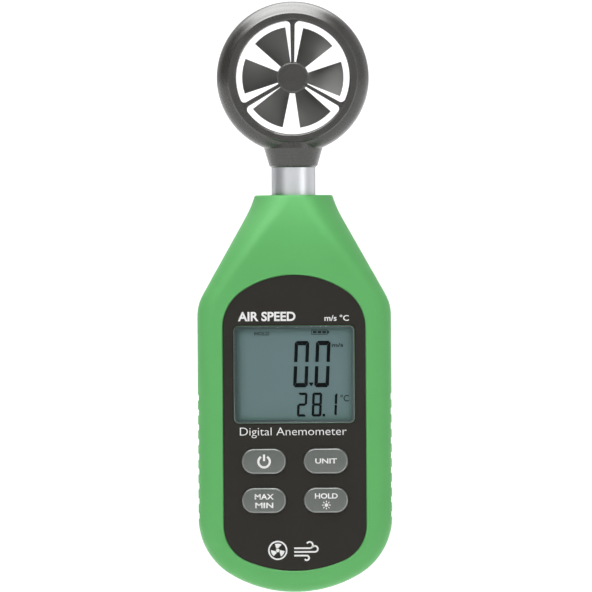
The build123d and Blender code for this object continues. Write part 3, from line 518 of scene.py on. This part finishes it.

# %% [markdown]
# ## Small parts inside
#
# Some parts show only when the battery door is open or through the duct, but the instrument is
# looked at from every side. The circuit board has copper tracks under green solder mask, which a
# grid of cells with soft edges suggests. The elastomer strip between display and board is made of
# thin black and white layers. The cells have a printed sleeve with a band at each end.

# %% Board, elastomer, rubber and bearing
circuit_board = Finish(
    "green_solder_mask", {"IOR": 1.5, "Coat Weight": 0.5, "Coat Roughness": 0.15}
)
where = place(circuit_board)
tracks = circuit_board.node(
    "ShaderNodeTexVoronoi",
    {"feature": "DISTANCE_TO_EDGE"},
    {"Vector": where * (1.0, 0.0, 1.0), "Scale": 0.45},
    out="Distance",
)
track_line = tracks.rise(0.09, 0.05)
circuit_board.feed(
    "Base Color", mix(circuit_board, track_line, (0.012, 0.095, 0.030), (0.040, 0.200, 0.070))
)
circuit_board.feed("Roughness", noise(circuit_board, where, 0.6) * 0.12 + 0.3)
bump(circuit_board, track_line, 0.03)

chip_epoxy = moulded("chip_epoxy", (0.022, 0.022, 0.024), 0.55, grain=0.1)

layers = Finish("layered_elastomer", {"IOR": 1.45})
x, y, z = place(layers).parts()
stripe = x.wave(0.36).rise(0.45, 0.55)
layers.feed("Base Color", mix(layers, stripe, (0.03, 0.03, 0.03), (0.72, 0.68, 0.62)))
layers.feed("Roughness", stripe * 0.1 + 0.55)

silicone = moulded("grey_silicone", (0.20, 0.21, 0.20), 0.6, grain=0.3, depth=0.006)
cable_jacket = moulded("cable_jacket", (0.025, 0.025, 0.026), 0.5, grain=0.25)
glass_bead = moulded("glass_bead", (0.03, 0.03, 0.035), 0.12, grain=0.4, depth=0.001, coat=1.0)

ruby = Finish("ruby_bearing", {"IOR": 1.77, "Coat Weight": 0.8, "Coat Roughness": 0.05})
veil = noise(ruby, place(ruby), 0.4)
ruby.feed("Base Color", mix(ruby, veil, (0.30, 0.010, 0.035), (0.52, 0.030, 0.080)))
ruby.feed("Roughness", veil * 0.06 + 0.06)
print("inner finishes ready")

# %% [markdown]
# ## Battery sleeve
#
# A cell is a steel can in a printed plastic sleeve. The can shows at both ends, and the sleeve
# has one pale band near its positive end. The bands are placed by height along the cell, and
# every second cell stands on its head, so the finish is told which way up its cell is.


# %% Sleeve with bands
def cell_sleeve(name, node, nub_up):
    """A Finish for one battery. nub_up is True where the positive end is at the top."""
    low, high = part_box(node)
    length = (high.z - low.z) / MM
    finish = Finish(name, {"IOR": 1.5})
    where = place(finish)
    x, y, z = where.parts()
    along = (z - low.z / MM) if nub_up else (high.z / MM - z)
    steel = along.rise(0.75, 0.6) + along.rise(length - 1.5, length - 1.35)
    band = along.rise(length - 11.2, length - 11.0) * along.rise(length - 4.0, length - 4.2)
    scuffs = noise(finish, where * (1.0, 1.0, 0.3), 0.8)
    sleeve = mix(finish, scuffs * 0.3, (0.035, 0.055, 0.11), (0.05, 0.075, 0.14))
    printed = mix(finish, band, sleeve, (0.58, 0.60, 0.62))
    finish.feed("Base Color", mix(finish, steel, printed, (0.62, 0.61, 0.60)))
    finish.feed("Metallic", steel.least(1.0))
    finish.feed("Roughness", scuffs * 0.12 + 0.24)
    bump(finish, steel.least(1.0) * -1.0, 0.05)
    return finish


cell_finishes = {
    f"battery_{k}": cell_sleeve(f"battery_sleeve_{k}", f"battery_{k}", nub_up=k % 2 == 1)
    for k in (1, 2, 3)
}
print("sleeves:", sorted(cell_finishes))

# %% [markdown]
# ## Give every CAD part its finish
#
# The CAD meshes stay exactly as they are, because their size is what the library trusts. Only
# the material in each mesh's slots is swapped for the detailed one.

# %% Dress the parts
FINISH_OF = {
    "front_case": green_case,
    "rear_case": green_case,
    "battery_door": green_door,
    "head_front_shell": head_plastic,
    "head_rear_shell": head_plastic,
    "impeller": vane_plastic,
    "front_panel": panel_sheet,
    "display_lens": clear_window,
    "lcd_glass": display_glass,
    "lcd_holder": black_plastic,
    "backlight": white_plastic,
    "sensor_connector": white_plastic,
    "zebra_strip": layers,
    "main_pcb": circuit_board,
    "sensor_board": circuit_board,
    "pcb_components": chip_epoxy,
    "keypad_mat": silicone,
    "optical_sensor": black_plastic,
    "thermistor": glass_bead,
    "sensor_cable": cable_jacket,
    "front_jewel": ruby,
    "rear_jewel": ruby,
    "rotor_shaft": shaft_steel,
    "neck_tube": neck_metal,
    "case_screws": screw_steel,
    "pcb_screws": screw_steel,
    "battery_springs": contact_nickel,
    "battery_plates": contact_nickel,
    "tripod_insert": brass,
    **key_finishes,
    **cell_finishes,
}
for node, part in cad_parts.items():
    part.data.materials.clear()
    part.data.materials.append(FINISH_OF[node].material)
print("dressed", len(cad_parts), "parts")

# %% [markdown]
# ## Making flat shapes
#
# Printing and display segments are thin plates. Each is an outline in the plane that faces the
# user, given depth. Blender's own text and curves could draw some of them, but an outline made
# in code can have exactly the width and height that is wanted.


# %% Outlines and thin plates
def add_plate(plate, outline, front_y, depth):
    """Adds a thin plate to a bmesh. outline is (x, z) in metres, front_y its face."""
    front = [plate.verts.new((x, front_y, z)) for x, z in outline]
    back = [plate.verts.new((x, front_y + depth, z)) for x, z in outline]
    plate.faces.new(front)
    plate.faces.new(reversed(back))
    for k in range(len(outline)):
        n = (k + 1) % len(outline)
        plate.faces.new((front[n], front[k], back[k], back[n]))


def join_rings(shape, rings):
    """Adds the quads between each closed ring of points and the next one."""
    for ring, following in zip(rings, rings[1:]):
        for k in range(len(ring)):
            n = (k + 1) % len(ring)
            shape.faces.new((ring[k], ring[n], following[n], following[k]))


def make_piece(name, shape, finish, body, smooth=False):
    """Turns a bmesh into an object that rides on a body and gives its mesh the finish's material."""
    bmesh.ops.recalc_face_normals(shape, faces=shape.faces)
    mesh = bpy.data.meshes.new(name)
    shape.to_mesh(mesh)
    shape.free()
    mesh.materials.append(finish.material)
    if smooth:
        mesh.shade_smooth()
    piece = bpy.data.objects.new(name, mesh)
    bpy.context.scene.collection.objects.link(piece)
    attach(piece, body)
    return piece


def arc(centre, radius, start, end, steps=24):
    """Points on an arc from start to end, in degrees. Lengths are in metres."""
    turns = [radians(start + (end - start) * k / steps) for k in range(steps + 1)]
    return [(centre[0] + radius * cos(t), centre[1] + radius * sin(t)) for t in turns]


def ribbon(points, width):
    """The outline of a line of even width through the points."""
    left, right = [], []
    for k, point in enumerate(points):
        before = Vector(points[max(k - 1, 0)])
        after = Vector(points[min(k + 1, len(points) - 1)])
        along = (after - before).normalized()
        side = Vector((-along.y, along.x)) * width / 2
        left.append(tuple(Vector(point) + side))
        right.append(tuple(Vector(point) - side))
    return left + right[::-1]


print("a quarter ring has", len(ribbon(arc((0, 0), 1, 0, 90), 0.1)), "points")

# %% [markdown]
# ## The reading
#
# Each digit is built from seven bars, named a to g as electronics has always named them. The
# bars meet at mitred corners with a hair's gap between them, and the whole digit leans a
# little. The large digits have heavier level bars than posts, which is what makes them look
# like those of a real display.

# %% Seven bars and the digits made of them
BARS = {"0": "abcdef", "1": "bc", "2": "abged", "8": "abcdefg"}
LEAN = radians(2.6)


def bar_outlines(width, height, post, bar, gap, waist, bevel):
    """Outlines of the seven bars of one digit whose lower left corner is the origin.

    Bars meet in mitred corners a gap apart. waist is the space between the upper and the
    lower posts, and bevel is how much of each outer corner is cut away.
    """
    inner, half_bevel = width - post, bevel / 2
    upper, lower = (height + waist) / 2, (height - waist) / 2
    top = [
        (bevel, height),
        (width - bevel, height),
        (width - half_bevel - gap, height - half_bevel),
        (inner - gap, height - bar),
        (post + gap, height - bar),
        (half_bevel + gap, height - half_bevel),
    ]
    upper_left = [
        (0, height - bevel),
        (half_bevel, height - half_bevel - gap),
        (post, height - bar - gap),
        (post, upper),
        (0, upper),
    ]
    middle_bar = [
        (half_bevel, height / 2),
        (post, (height + bar) / 2),
        (inner, (height + bar) / 2),
        (width - half_bevel, height / 2),
        (inner, (height - bar) / 2),
        (post, (height - bar) / 2),
    ]
    lower_left = [(x, lower + upper - z) for x, z in upper_left]
    return {
        "a": top,
        "b": [(width - x, z) for x, z in upper_left],
        "c": [(width - x, z) for x, z in lower_left],
        "d": [(x, height - z) for x, z in top],
        "e": lower_left,
        "f": upper_left,
        "g": middle_bar,
    }


def add_digit(plate, digit, corner, sizes, front_y):
    """Adds one leaning digit. corner is its lower left point; all lengths in metres."""
    for name in BARS[digit]:
        outline = bar_outlines(**sizes)[name]
        leaning = [(corner[0] + x + z * tan(LEAN), corner[1] + z) for x, z in outline]
        add_plate(plate, leaning, front_y, SEGMENT_DEPTH)


SEGMENT_DEPTH = 0.03 * MM
SEGMENT_GAP = 0.06 * MM  # from the glass to the front of the segments
segment_y = glass_face_y - SEGMENT_GAP
LARGE = dict(width=3.95, height=12.56, post=0.92, bar=1.18, gap=0.03, waist=1.15, bevel=0.55)
SMALL = dict(width=2.65, height=6.5, post=0.66, bar=0.66, gap=0.02, waist=0.22, bevel=0.4)
LARGE, SMALL = [{name: length * MM for name, length in size.items()} for size in (LARGE, SMALL)]
print("bars per reading:", sum(len(BARS[d]) for d in "00281"))

# %% Speed and temperature on the display
speed_foot = window.z - 3.49 * MM
temperature_foot = window.z - 11.43 * MM
speed = bmesh.new()
for left in (-0.35, 5.40):
    add_digit(speed, "0", (left * MM, speed_foot), LARGE, segment_y)
point = [(3.85, 1.3), (5.25, 1.3), (4.75, 0.35), (4.45, 0.35)]
add_plate(speed, [(x * MM, speed_foot + z * MM) for x, z in point], segment_y, SEGMENT_DEPTH)
make_piece("speed_reading", speed, segment_black, "body")

temperature = bmesh.new()
for digit, left in (("2", 0.62), ("8", 4.62), ("1", 8.75)):
    add_digit(temperature, digit, (left * MM, temperature_foot), SMALL, segment_y)
point = [(7.62, 0.72), (8.32, 0.72), (8.28, 0.0), (7.58, 0.0)]
add_plate(
    temperature, [(x * MM, temperature_foot + z * MM) for x, z in point], segment_y, SEGMENT_DEPTH
)
make_piece("temperature_reading", temperature, segment_black, "body")
print("readings stand", round((glass_face_y - segment_y) / MM, 3), "mm before the glass")

# %% [markdown]
# ## Lettering
#
# Words are set with Blender's built-in typeface, turned into a mesh and stretched to the width
# and cap height that the printed word needs. The words are plain generic ones: what the
# instrument measures, its units, and what each key does.


# %% Words as thin plates
def lettering(words, width, cap_height, depth, weight=0.0):
    """A bmesh of words facing -Y, centred on x = 0 with its baseline at z = 0."""
    curve = bpy.data.curves.new("words", "FONT")
    curve.body = words
    curve.offset = weight
    curve.resolution_u = 4
    curve.extrude = 0.5
    curve.align_x = "CENTER"
    holder = bpy.data.objects.new("words", curve)
    bpy.context.scene.collection.objects.link(holder)
    bpy.context.view_layer.update()
    shaped = holder.evaluated_get(bpy.context.evaluated_depsgraph_get())
    mesh = bpy.data.meshes.new_from_object(shaped)
    bpy.data.objects.remove(holder)
    xs = [v.co.x for v in mesh.vertices]
    top = max(v.co.y for v in mesh.vertices)
    across = width / (max(xs) - min(xs))
    shift = (max(xs) + min(xs)) / 2
    up = cap_height / top
    for v in mesh.vertices:
        v.co = Vector(((v.co.x - shift) * across, -v.co.z * depth, v.co.y * up))
    shape = bmesh.new()
    shape.from_mesh(mesh)
    bmesh.ops.remove_doubles(shape, verts=shape.verts, dist=1e-7)
    bpy.data.meshes.remove(mesh)
    return shape


def put_words(name, words, at, width, cap_height, finish, body, weight):
    """Makes a piece of lettering. at is (x, y, z) of its baseline's middle and its front."""
    shape = lettering(words, width * MM, cap_height * MM, INK_DEPTH, weight)
    bmesh.ops.translate(shape, verts=shape.verts, vec=Vector(at) + Vector((0, INK_DEPTH / 2, 0)))
    return make_piece(name, shape, finish, body)


INK_DEPTH = 0.03 * MM
INK_PROUD = 0.02 * MM  # how far printing stands out of its surface
panel_ink_y = panel_face_y - INK_PROUD
sample = lettering("m/s", 3 * MM, 1 * MM, INK_DEPTH)
print("sample lettering has", len(sample.faces), "faces")
sample.free()

# %% Printing on the panel
panel_words = (
    ("panel_title", "Digital Anemometer", -0.35, -16.45, 28.9, 2.15, -0.008),
    ("panel_heading", "AIR SPEED", -7.35, 14.6, 15.6, 2.45, 0.03),
    ("panel_units", "m/s °C", 11.6, 14.5, 6.6, 1.6, 0.015),
)
for name, words, x, z, width, cap, weight in panel_words:
    at = (x * MM, panel_ink_y, window.z + z * MM)
    put_words(name, words, at, width, cap, white_ink, "body", weight)
print("printed", len(panel_words), "lines")

# %% Words on the display
display_words = (
    ("display_speed_unit", "m/s", 11.75, 7.45, 3.1, 1.0, segment_black),
    ("display_temperature_unit", "°C", 13.6, -7.35, 2.3, 1.8, segment_faint),
    ("display_hold", "HOLD", -8.7, 10.65, 4.0, 0.95, segment_black),
)
for name, words, x, z, width, cap, finish in display_words:
    at = (x * MM, segment_y, window.z + z * MM)
    put_words(name, words, at, width, cap, finish, "body", weight=0.015)
print("display words:", len(display_words))

# %% [markdown]
# ## The printed border behind the window
#
# The window rests on a narrow green ledge of the case. On the real thing a border in the
# colour of the display is printed on the back of the window and hides that ledge. It is a
# frame, so it is made as a strip of quads between two rounded rectangles.


# %% Border strip
def rounded_outline(centre, width, height, corner, steps=8):
    """Points round a rounded rectangle in x and z, in metres. Sizes are in millimetres."""
    points = []
    for sx, sz, start in ((1, 1, 0), (-1, 1, 90), (-1, -1, 180), (1, -1, 270)):
        middle_of_corner = (
            centre.x + sx * (width / 2 - corner) * MM,
            centre.z + sz * (height / 2 - corner) * MM,
        )
        points += arc(middle_of_corner, corner * MM, start, start + 90, steps)
    return points


BORDER_DEPTH = 0.03 * MM
border_ink = Finish("display_border_ink", {"IOR": 1.5, "Specular IOR Level": 0.1})
where = place(border_ink)
x, y, z = where.parts()
# Painted shade: the border darkens towards the left, as the reflector's painted frame shade does;
# the noise is grain.
shaded = (x - left_edge).rise(0.0, 30.0) * 0.5 + noise(border_ink, where, 0.3) * 0.3
border_ink.feed(
    "Base Color", mix(border_ink, shaded, (0.086, 0.118, 0.118), (0.160, 0.212, 0.214))
)
border_ink.feed("Roughness", noise(border_ink, where, 0.2) * 0.1 + 0.4)

border_y = lens_high.y - 0.04 * MM
outside = rounded_outline(window, window_size.x - 0.02, window_size.z - 0.02, 1.39)
inside = rounded_outline(window, window_size.x - 1.7, window_size.z - 1.7, 0.7)
border_shape = bmesh.new()
back_y = border_y + BORDER_DEPTH
loops = [
    [border_shape.verts.new((x, y, z)) for x, z in outline]
    for outline, y in ((outside, border_y), (inside, border_y), (inside, back_y), (outside, back_y))
]
join_rings(border_shape, loops + loops[:1])
make_piece("display_border", border_shape, border_ink, "body")
print("border strip:", len(outside), "points round")

# %% [markdown]
# ## Signs
#
# Signs say the same as words in less room. The battery sign on the display is a frame with
# bars in it. Two pictures near the foot of the panel say what the instrument feels: a small fan
# for moving air and a curl of wind. The keys carry the usual broken ring of a power switch and
# a small sun for the light.


# %% Battery sign on the display
def add_box(plate, left, foot, right, top, front_y, depth):
    """Adds a level rectangle, in metres."""
    add_plate(plate, [(left, foot), (right, foot), (right, top), (left, top)], front_y, depth)


battery_sign = bmesh.new()
SIGN_LEFT, SIGN_FOOT = 4.7, 10.75  # its lower left corner from the window's middle, in mm
SIGN_WIDE, SIGN_TALL, SIGN_LINE = 4.4, 1.35, 0.16
sign_parts = [
    (0, 0, SIGN_WIDE, SIGN_LINE),
    (0, SIGN_TALL - SIGN_LINE, SIGN_WIDE, SIGN_TALL),
    (0, SIGN_LINE, SIGN_LINE, SIGN_TALL - SIGN_LINE),
    (SIGN_WIDE - SIGN_LINE, SIGN_LINE, SIGN_WIDE, SIGN_TALL - SIGN_LINE),
    (SIGN_WIDE, 0.35, SIGN_WIDE + 0.4, 1.0),
]
sign_parts += [(start, 0.34, start + 1.0, 1.01) for start in (0.42, 1.70, 2.98)]
for left, foot, right, top in sign_parts:
    left, right = [(SIGN_LEFT + v) * MM for v in (left, right)]
    foot, top = [window.z + (SIGN_FOOT + v) * MM for v in (foot, top)]
    add_box(battery_sign, left, foot, right, top, segment_y, SEGMENT_DEPTH)
make_piece("display_battery_sign", battery_sign, segment_faint, "body")
print("battery sign done")


# %% Fan and wind on the panel
def add_line(plate, points, width, front_y):
    """Adds a printed line of even width."""
    add_plate(plate, ribbon(points, width), front_y, INK_DEPTH)


signs_z = window.z - 47.6 * MM
fan_centre = (-4.75 * MM, signs_z)
fan_sign = bmesh.new()
for start in (0, 180):
    half_ring = arc(fan_centre, 2.4 * MM, start, start + 180)
    add_line(fan_sign, half_ring, 0.42 * MM, panel_ink_y)
add_plate(fan_sign, arc(fan_centre, 0.5 * MM, 0, 360)[:-1], panel_ink_y, INK_DEPTH)
for turn in (90, 210, 330):
    tip = arc(fan_centre, 1.85 * MM, turn - 34, turn + 24, 8)
    root = arc(fan_centre, 0.62 * MM, turn + 40, turn - 10, 4)
    add_plate(fan_sign, tip + root, panel_ink_y, INK_DEPTH)
make_piece("panel_fan_sign", fan_sign, white_ink, "body")

wind_sign = bmesh.new()
wind_left = -0.3 * MM
# Each line: its height, its length, the radius of its curl, and 1 where it curls up.
for level, reach, hook, up in ((0.55, 4.2, 0.85, 1), (-0.45, 5.6, 0.80, 1), (-1.45, 3.4, 0.62, -1)):
    end = (wind_left + reach * MM, signs_z + (level + up * hook) * MM)
    curl = arc(end, hook * MM, -90 * up, 150 * up, 16)
    add_line(wind_sign, [(wind_left, signs_z + level * MM)] + curl, 0.46 * MM, panel_ink_y)
make_piece("panel_wind_sign", wind_sign, white_ink, "body")
print("panel signs done")

# %% [markdown]
# ## Legends on the keys
#
# A legend moves with its key, so it rides on the key's own body. The ink lies on the crown, a
# few hundredths of a millimetre proud, and that is enough for it to catch the light as ink does.

# %% Power sign, words and the light sign
crown_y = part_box("key_power")[0].y - INK_PROUD


def key_point(node, x, z):
    """A point on a key's crown, x and z millimetres from its middle."""
    centre = middle(node)
    return (centre.x + x * MM, crown_y, centre.z + z * MM)


power = bmesh.new()
x, _, z = key_point("key_power", 0.1, -0.1)
add_line(power, arc((x, z), 1.55 * MM, 122, 418, 32), 0.62 * MM, crown_y)
add_line(power, [(x, z + 0.15 * MM), (x, z + 1.95 * MM)], 0.58 * MM, crown_y)
make_piece("legend_power", power, white_ink, KEYS["key_power"])

key_words = (
    ("legend_unit", "key_unit", "UNIT", 0.1, -0.65, 5.9, 1.35),
    ("legend_max", "key_max_min", "MAX", 0.1, 0.30, 5.2, 1.45),
    ("legend_min", "key_max_min", "MIN", 0.1, -2.05, 4.9, 1.45),
    ("legend_hold", "key_hold_light", "HOLD", 0.1, 0.45, 6.2, 1.40),
)
for name, node, words, x, z, width, cap in key_words:
    at, body = key_point(node, x, z), KEYS[node]
    put_words(name, words, at, width, cap, white_ink, body, weight=0.025)

sun = bmesh.new()
x, _, z = key_point("key_hold_light", 0.1, -1.35)
add_plate(sun, arc((x, z), 0.48 * MM, 0, 360)[:-1], crown_y, INK_DEPTH)
for turn in range(0, 360, 45):
    ray = [arc((x, z), radius * MM, turn, turn, 1)[0] for radius in (0.72, 1.18)]
    add_line(sun, ray, 0.24 * MM, crown_y)
make_piece("legend_light", sun, white_ink, KEYS["key_hold_light"])
print("legends on", len(KEYS), "keys")

# %% [markdown]
# ## The threaded insert
#
# The brass insert in the back takes a tripod screw with a quarter inch thread, 20 turns to the
# inch. In CAD its bore is a plain hole of the thread's inner size, which is right for fitting
# but looks blank. Here the bore is made again as a grid of points whose radius rises and falls
# once per turn, shifted a little from each column to the next, so that the ridge climbs. The
# new piece has the same outer size and stands for the plain one.

# %% Cut the thread
insert_low, insert_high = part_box("tripod_insert")
PITCH = 1.27 * MM
CREST, ROOT = 2.55 * MM, 3.12 * MM
LEAD_IN, CHAMFER = 0.5 * MM, 0.3 * MM
COLUMNS, ROWS_PER_TURN = 64, 10


def ring_of(shape, radius_at, y, centre):
    """A ring of points round the Y axis. radius_at gives the radius at each turn from 0 to 1."""
    ring = []
    for k in range(COLUMNS):
        turn = k / COLUMNS
        r = radius_at(turn)
        angle = 2 * pi * turn
        ring.append(shape.verts.new((centre.x + r * cos(angle), y, centre.z + r * sin(angle))))
    return ring


def thread_radius(y):
    """The bore's radius round one ring at depth y, for a ridge that climbs one pitch a turn."""

    def radius(turn):
        phase = (y / PITCH + turn) % 1.0
        ridge = min(1.0, max(0.0, 1.45 - abs(phase - 0.5) * 4.2))
        lead_in = max(0.0, 1 - (insert_high.y - y) / LEAD_IN)
        return ROOT + (CREST - ROOT) * ridge * (1 - lead_in)

    return radius


axis = middle("tripod_insert")
outer = (insert_high.x - insert_low.x) / 2
length = insert_high.y - insert_low.y
rows = int(length / PITCH * ROWS_PER_TURN)
thread = bmesh.new()
rings = [
    ring_of(thread, lambda turn: outer, insert_low.y, axis),
    ring_of(thread, lambda turn: outer, insert_high.y - CHAMFER, axis),
    ring_of(thread, lambda turn: outer - CHAMFER, insert_high.y, axis),
]
for row in range(rows + 1):
    y = insert_high.y - length * row / rows
    rings.append(ring_of(thread, thread_radius(y), y, axis))
join_rings(thread, rings + rings[:1])
insert = make_piece("threaded_insert", thread, brass, "body", smooth=True)
insert.data.set_sharp_from_angle(angle=radians(35))
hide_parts("tripod_insert")
print("thread rows:", rows, "turns:", round(length / PITCH, 1))

# %% [markdown]
# ## Marks on the back
#
# A raised arrow on the battery door shows which way it slides. Each cell has a plus at its
# positive end and a bar at the other. They are small, but a door with no mark looks unfinished.

# %% Door arrow and polarity signs
door_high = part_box("battery_door")[1]
arrow = bmesh.new()
shaft_half, head_half, arrow_top = 0.9 * MM, 2.6 * MM, door_high.z - 18.6 * MM
barb, tip = arrow_top - 3.4 * MM, arrow_top - 6.4 * MM
outline = [
    (-shaft_half, arrow_top),
    (-shaft_half, barb),
    (-head_half, barb),
    (0, tip),
    (head_half, barb),
    (shaft_half, barb),
    (shaft_half, arrow_top),
]
add_plate(arrow, outline, door_high.y - 0.1 * MM, 0.25 * MM)
make_piece("door_arrow", arrow, green_door, "door")

signs = bmesh.new()
ARM, HALF_LINE, SIGN_DEPTH = 1.4 * MM, 0.25 * MM, 0.06 * MM
PLUS_IN, MINUS_IN = 8.3 * MM, 5.5 * MM  # from the ends of the cell
for k in (1, 2, 3):
    low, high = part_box(f"battery_{k}")
    x = (low.x + high.x) / 2
    plus_end, minus_end, up = (high.z, low.z, 1) if k % 2 == 1 else (low.z, high.z, -1)
    plus_z, minus_z = plus_end - up * PLUS_IN, minus_end + up * MINUS_IN
    strokes = (
        (ARM, plus_z - HALF_LINE, plus_z + HALF_LINE),
        (HALF_LINE, plus_z - ARM, plus_z - HALF_LINE),
        (HALF_LINE, plus_z + HALF_LINE, plus_z + ARM),
        (ARM, minus_z - HALF_LINE, minus_z + HALF_LINE),
    )
    for half, foot, top in strokes:
        add_box(signs, x - half, foot, x + half, top, high.y - SIGN_DEPTH / 2, SIGN_DEPTH)
make_piece("polarity_signs", signs, segment_black, "body")
print("back marks done")

# %% [markdown]
# ## The light window in the duct
#
# Under the fan an optical sensor counts the blades through a hole in the duct. A smoked disc
# closes that hole. It is turned from a short stack of rings, so that its rim is rounded.

# %% Smoked disc
smoked = moulded("smoked_window", (0.030, 0.010, 0.012), 0.12, grain=0.5, depth=0.001, coat=0.6)
DUCT_RADIUS = 15.5 * MM
# Radius and height of each ring in millimetres, from the bottom up.
DISC_RINGS = ((1.30, -0.75), (1.43, -0.65), (1.43, -0.45), (1.36, -0.38), (0.9, -0.33), (0.3, -0.31))
duct_floor = hub.z - DUCT_RADIUS
disc = bmesh.new()
rings = []
for radius, up in DISC_RINGS:
    circle = arc((hub.x, hub.y), radius * MM, 0, 360, 32)[:-1]
    rings.append([disc.verts.new((x, y, duct_floor + up * MM)) for x, y in circle])
disc.faces.new(rings[0][::-1])
join_rings(disc, rings)
disc.faces.new(rings[-1])
make_piece("smoked_disc", disc, smoked, "body", smooth=True)
print("duct floor at z =", round(duct_floor / MM, 2), "mm")

# %% [markdown]
# ## Floor and light
#
# The instrument has a tripod socket in its back and a rounded foot, so it is shown as it hangs
# on a tripod, with a pale floor under it and room below for the battery door to slide out. A
# large soft lamp high on the left is the main light, one on the right fills the shadows and a
# weak one overhead helps. The floor glows a little where it is looked at, so that no grey
# horizon shows. The world is white for the camera and a soft grey, brighter behind, for matt
# surfaces. For mirroring ones it is a room with a bright ceiling and a dark left wall, because
# glossy dark plastic shows little but what it mirrors.

# %% Pale floor
FLOOR_CLEARANCE = 66 * MM  # the battery door needs 60 mm below the foot
floor_paint = Finish("pale_floor", {"IOR": 1.45, "Emission Strength": 0.85})
fibre = noise(floor_paint, place(floor_paint), 1.5)
path = floor_paint.node("ShaderNodeLightPath", {}, {}, out=None)
watched = path["Is Camera Ray"].most(path["Is Glossy Ray"])
floor_paint.feed("Emission Color", mix(floor_paint, watched, (0.12, 0.12, 0.12), (1, 1, 1)))
floor_paint.feed("Base Color", mix(floor_paint, fibre, (0.90, 0.90, 0.90), (0.94, 0.94, 0.94)))
floor_paint.feed("Roughness", fibre * 0.1 + 0.7)
floor_shape = bmesh.new()
bmesh.ops.create_grid(floor_shape, x_segments=8, y_segments=8, size=3.0)
bmesh.ops.translate(floor_shape, verts=floor_shape.verts, vec=(0, 0, cad_low.z - FLOOR_CLEARANCE))
floor_mesh = bpy.data.meshes.new("floor")
floor_shape.to_mesh(floor_mesh)
floor_shape.free()
floor_mesh.materials.append(floor_paint.material)
floor = bpy.data.objects.new("floor", floor_mesh)
bpy.context.scene.collection.objects.link(floor)
floor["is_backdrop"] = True
print("floor at z =", round((cad_low.z - FLOOR_CLEARANCE) / MM, 2), "mm")


# %% World and lamps
def lamp(name, at, aim, width, height, power):
    """A soft rectangular lamp at a place, turned towards aim. Lengths in metres."""
    data = bpy.data.lights.new(name, "AREA")
    data.shape = "RECTANGLE"
    data.size, data.size_y = width, height
    data.energy = power
    made = bpy.data.objects.new(name, data)
    made.location = at
    made.rotation_euler = (Vector(aim) - Vector(at)).to_track_quat("-Z", "Y").to_euler()
    bpy.context.scene.collection.objects.link(made)


class Room(Finish):
    """The world's own node tree, built with the same methods as a Finish."""

    def __init__(self, name):
        world = bpy.data.worlds.new(name)
        world.use_nodes = True
        self.tree = world.node_tree
        self.shader = self.tree.nodes["Background"]
        bpy.context.scene.world = world


ROOM_LIGHT, SEEN_LIGHT = 0.29, 1.15  # strengths for matt surfaces and for the camera
WALLS, CEILING, REST_OF_ROOM = 0.50, 9.5, 0.17  # strengths for mirroring surfaces
room = Room("white_room")
way = room.node("ShaderNodeTexCoord", {}, {}, out="Generated")
x, y, z = way.parts()
path = room.node("ShaderNodeLightPath", {}, {}, out=None)
seen, mirrored = path["Is Camera Ray"], path["Is Glossy Ray"]
# Masks that are 1 on one side of the room, from where its direction starts to where it is full.
front = y.rise(-0.20, -0.75)
right = x.rise(0.55, 0.95)
left = x.rise(-0.62, -0.86) * y.rise(0.5, 0.1)
behind = y.rise(0.0, 0.6)
above = z.rise(0.50, 0.72) * (1 - behind * 0.5) * x.rise(0.50, 0.30) * x.rise(-0.72, -0.50)
straight_ahead = y.rise(-0.994, -0.998)  # a dark card where the camera would stand
reflected = front * WALLS + right * WALLS + behind * WALLS + above * CEILING + REST_OF_ROOM
reflected = reflected * (1 - left * 0.92) * (1 - straight_ahead * 0.9)
scattered = behind * 0.42 + ROOM_LIGHT
light = mirrored * reflected + (1 - mirrored) * scattered
room.feed("Color", (1, 1, 1))
room.feed("Strength", light * (1 - seen) + seen * SEEN_LIGHT)

aim = (0, -0.014, 0.02)
lamp("main_lamp", (-0.65, -0.85, 0.75), aim, 0.7, 0.7, 3.9)
lamp("fill_lamp", (0.85, -0.75, 0.25), aim, 0.5, 0.9, 1.6)
lamp("top_lamp", (-0.05, -0.10, 0.62), (0, -0.014, 0.08), 0.55, 0.30, 1.2)
bpy.context.scene.view_settings.view_transform = "Standard"

# %% [markdown]
# ## Camera
#
# A very long lens from six metres away keeps the case's sides parallel. Its focal length is
# worked out from the width that has to fit in the picture at the target. The camera stands a
# touch to the right and leans by a third of a degree.

# %% Long lens
DISTANCE = 6.0
FIELD = 160.7 * MM  # width of the picture at the target
SENSOR = 36.0  # mm
TURN, ROLL = radians(0.6), radians(-0.37)
target = Vector((0.48 * MM, middle("front_case").y + 7 * MM, cad_low.z + 80.2 * MM))
camera_data = bpy.data.cameras.new("long_lens")
camera_data.sensor_width = SENSOR
camera_data.lens = SENSOR * DISTANCE / FIELD
camera = bpy.data.objects.new("long_lens", camera_data)
back = Vector((sin(TURN), -cos(TURN), 0))
camera.location = target + back * DISTANCE
look = (-back).to_track_quat("-Z", "Y").to_matrix()
camera.rotation_euler = (Matrix.Rotation(ROLL, 3, back) @ look).to_euler()
camera_data.clip_start = 0.1
bpy.context.scene.collection.objects.link(camera)
bpy.context.scene.camera = camera
print("lens:", round(camera_data.lens), "mm")

# %% [markdown]
# ## Compare sizes and finish
#
# The finished model has to keep the CAD parts' size. How much its box has grown against the CAD
# parts' box is printed, so that it can be compared after each change.

# %% Print the growth and finish
low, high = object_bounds()
print("growth in mm:", [round(v / MM, 3) for v in (high - low) - (cad_high - cad_low)])
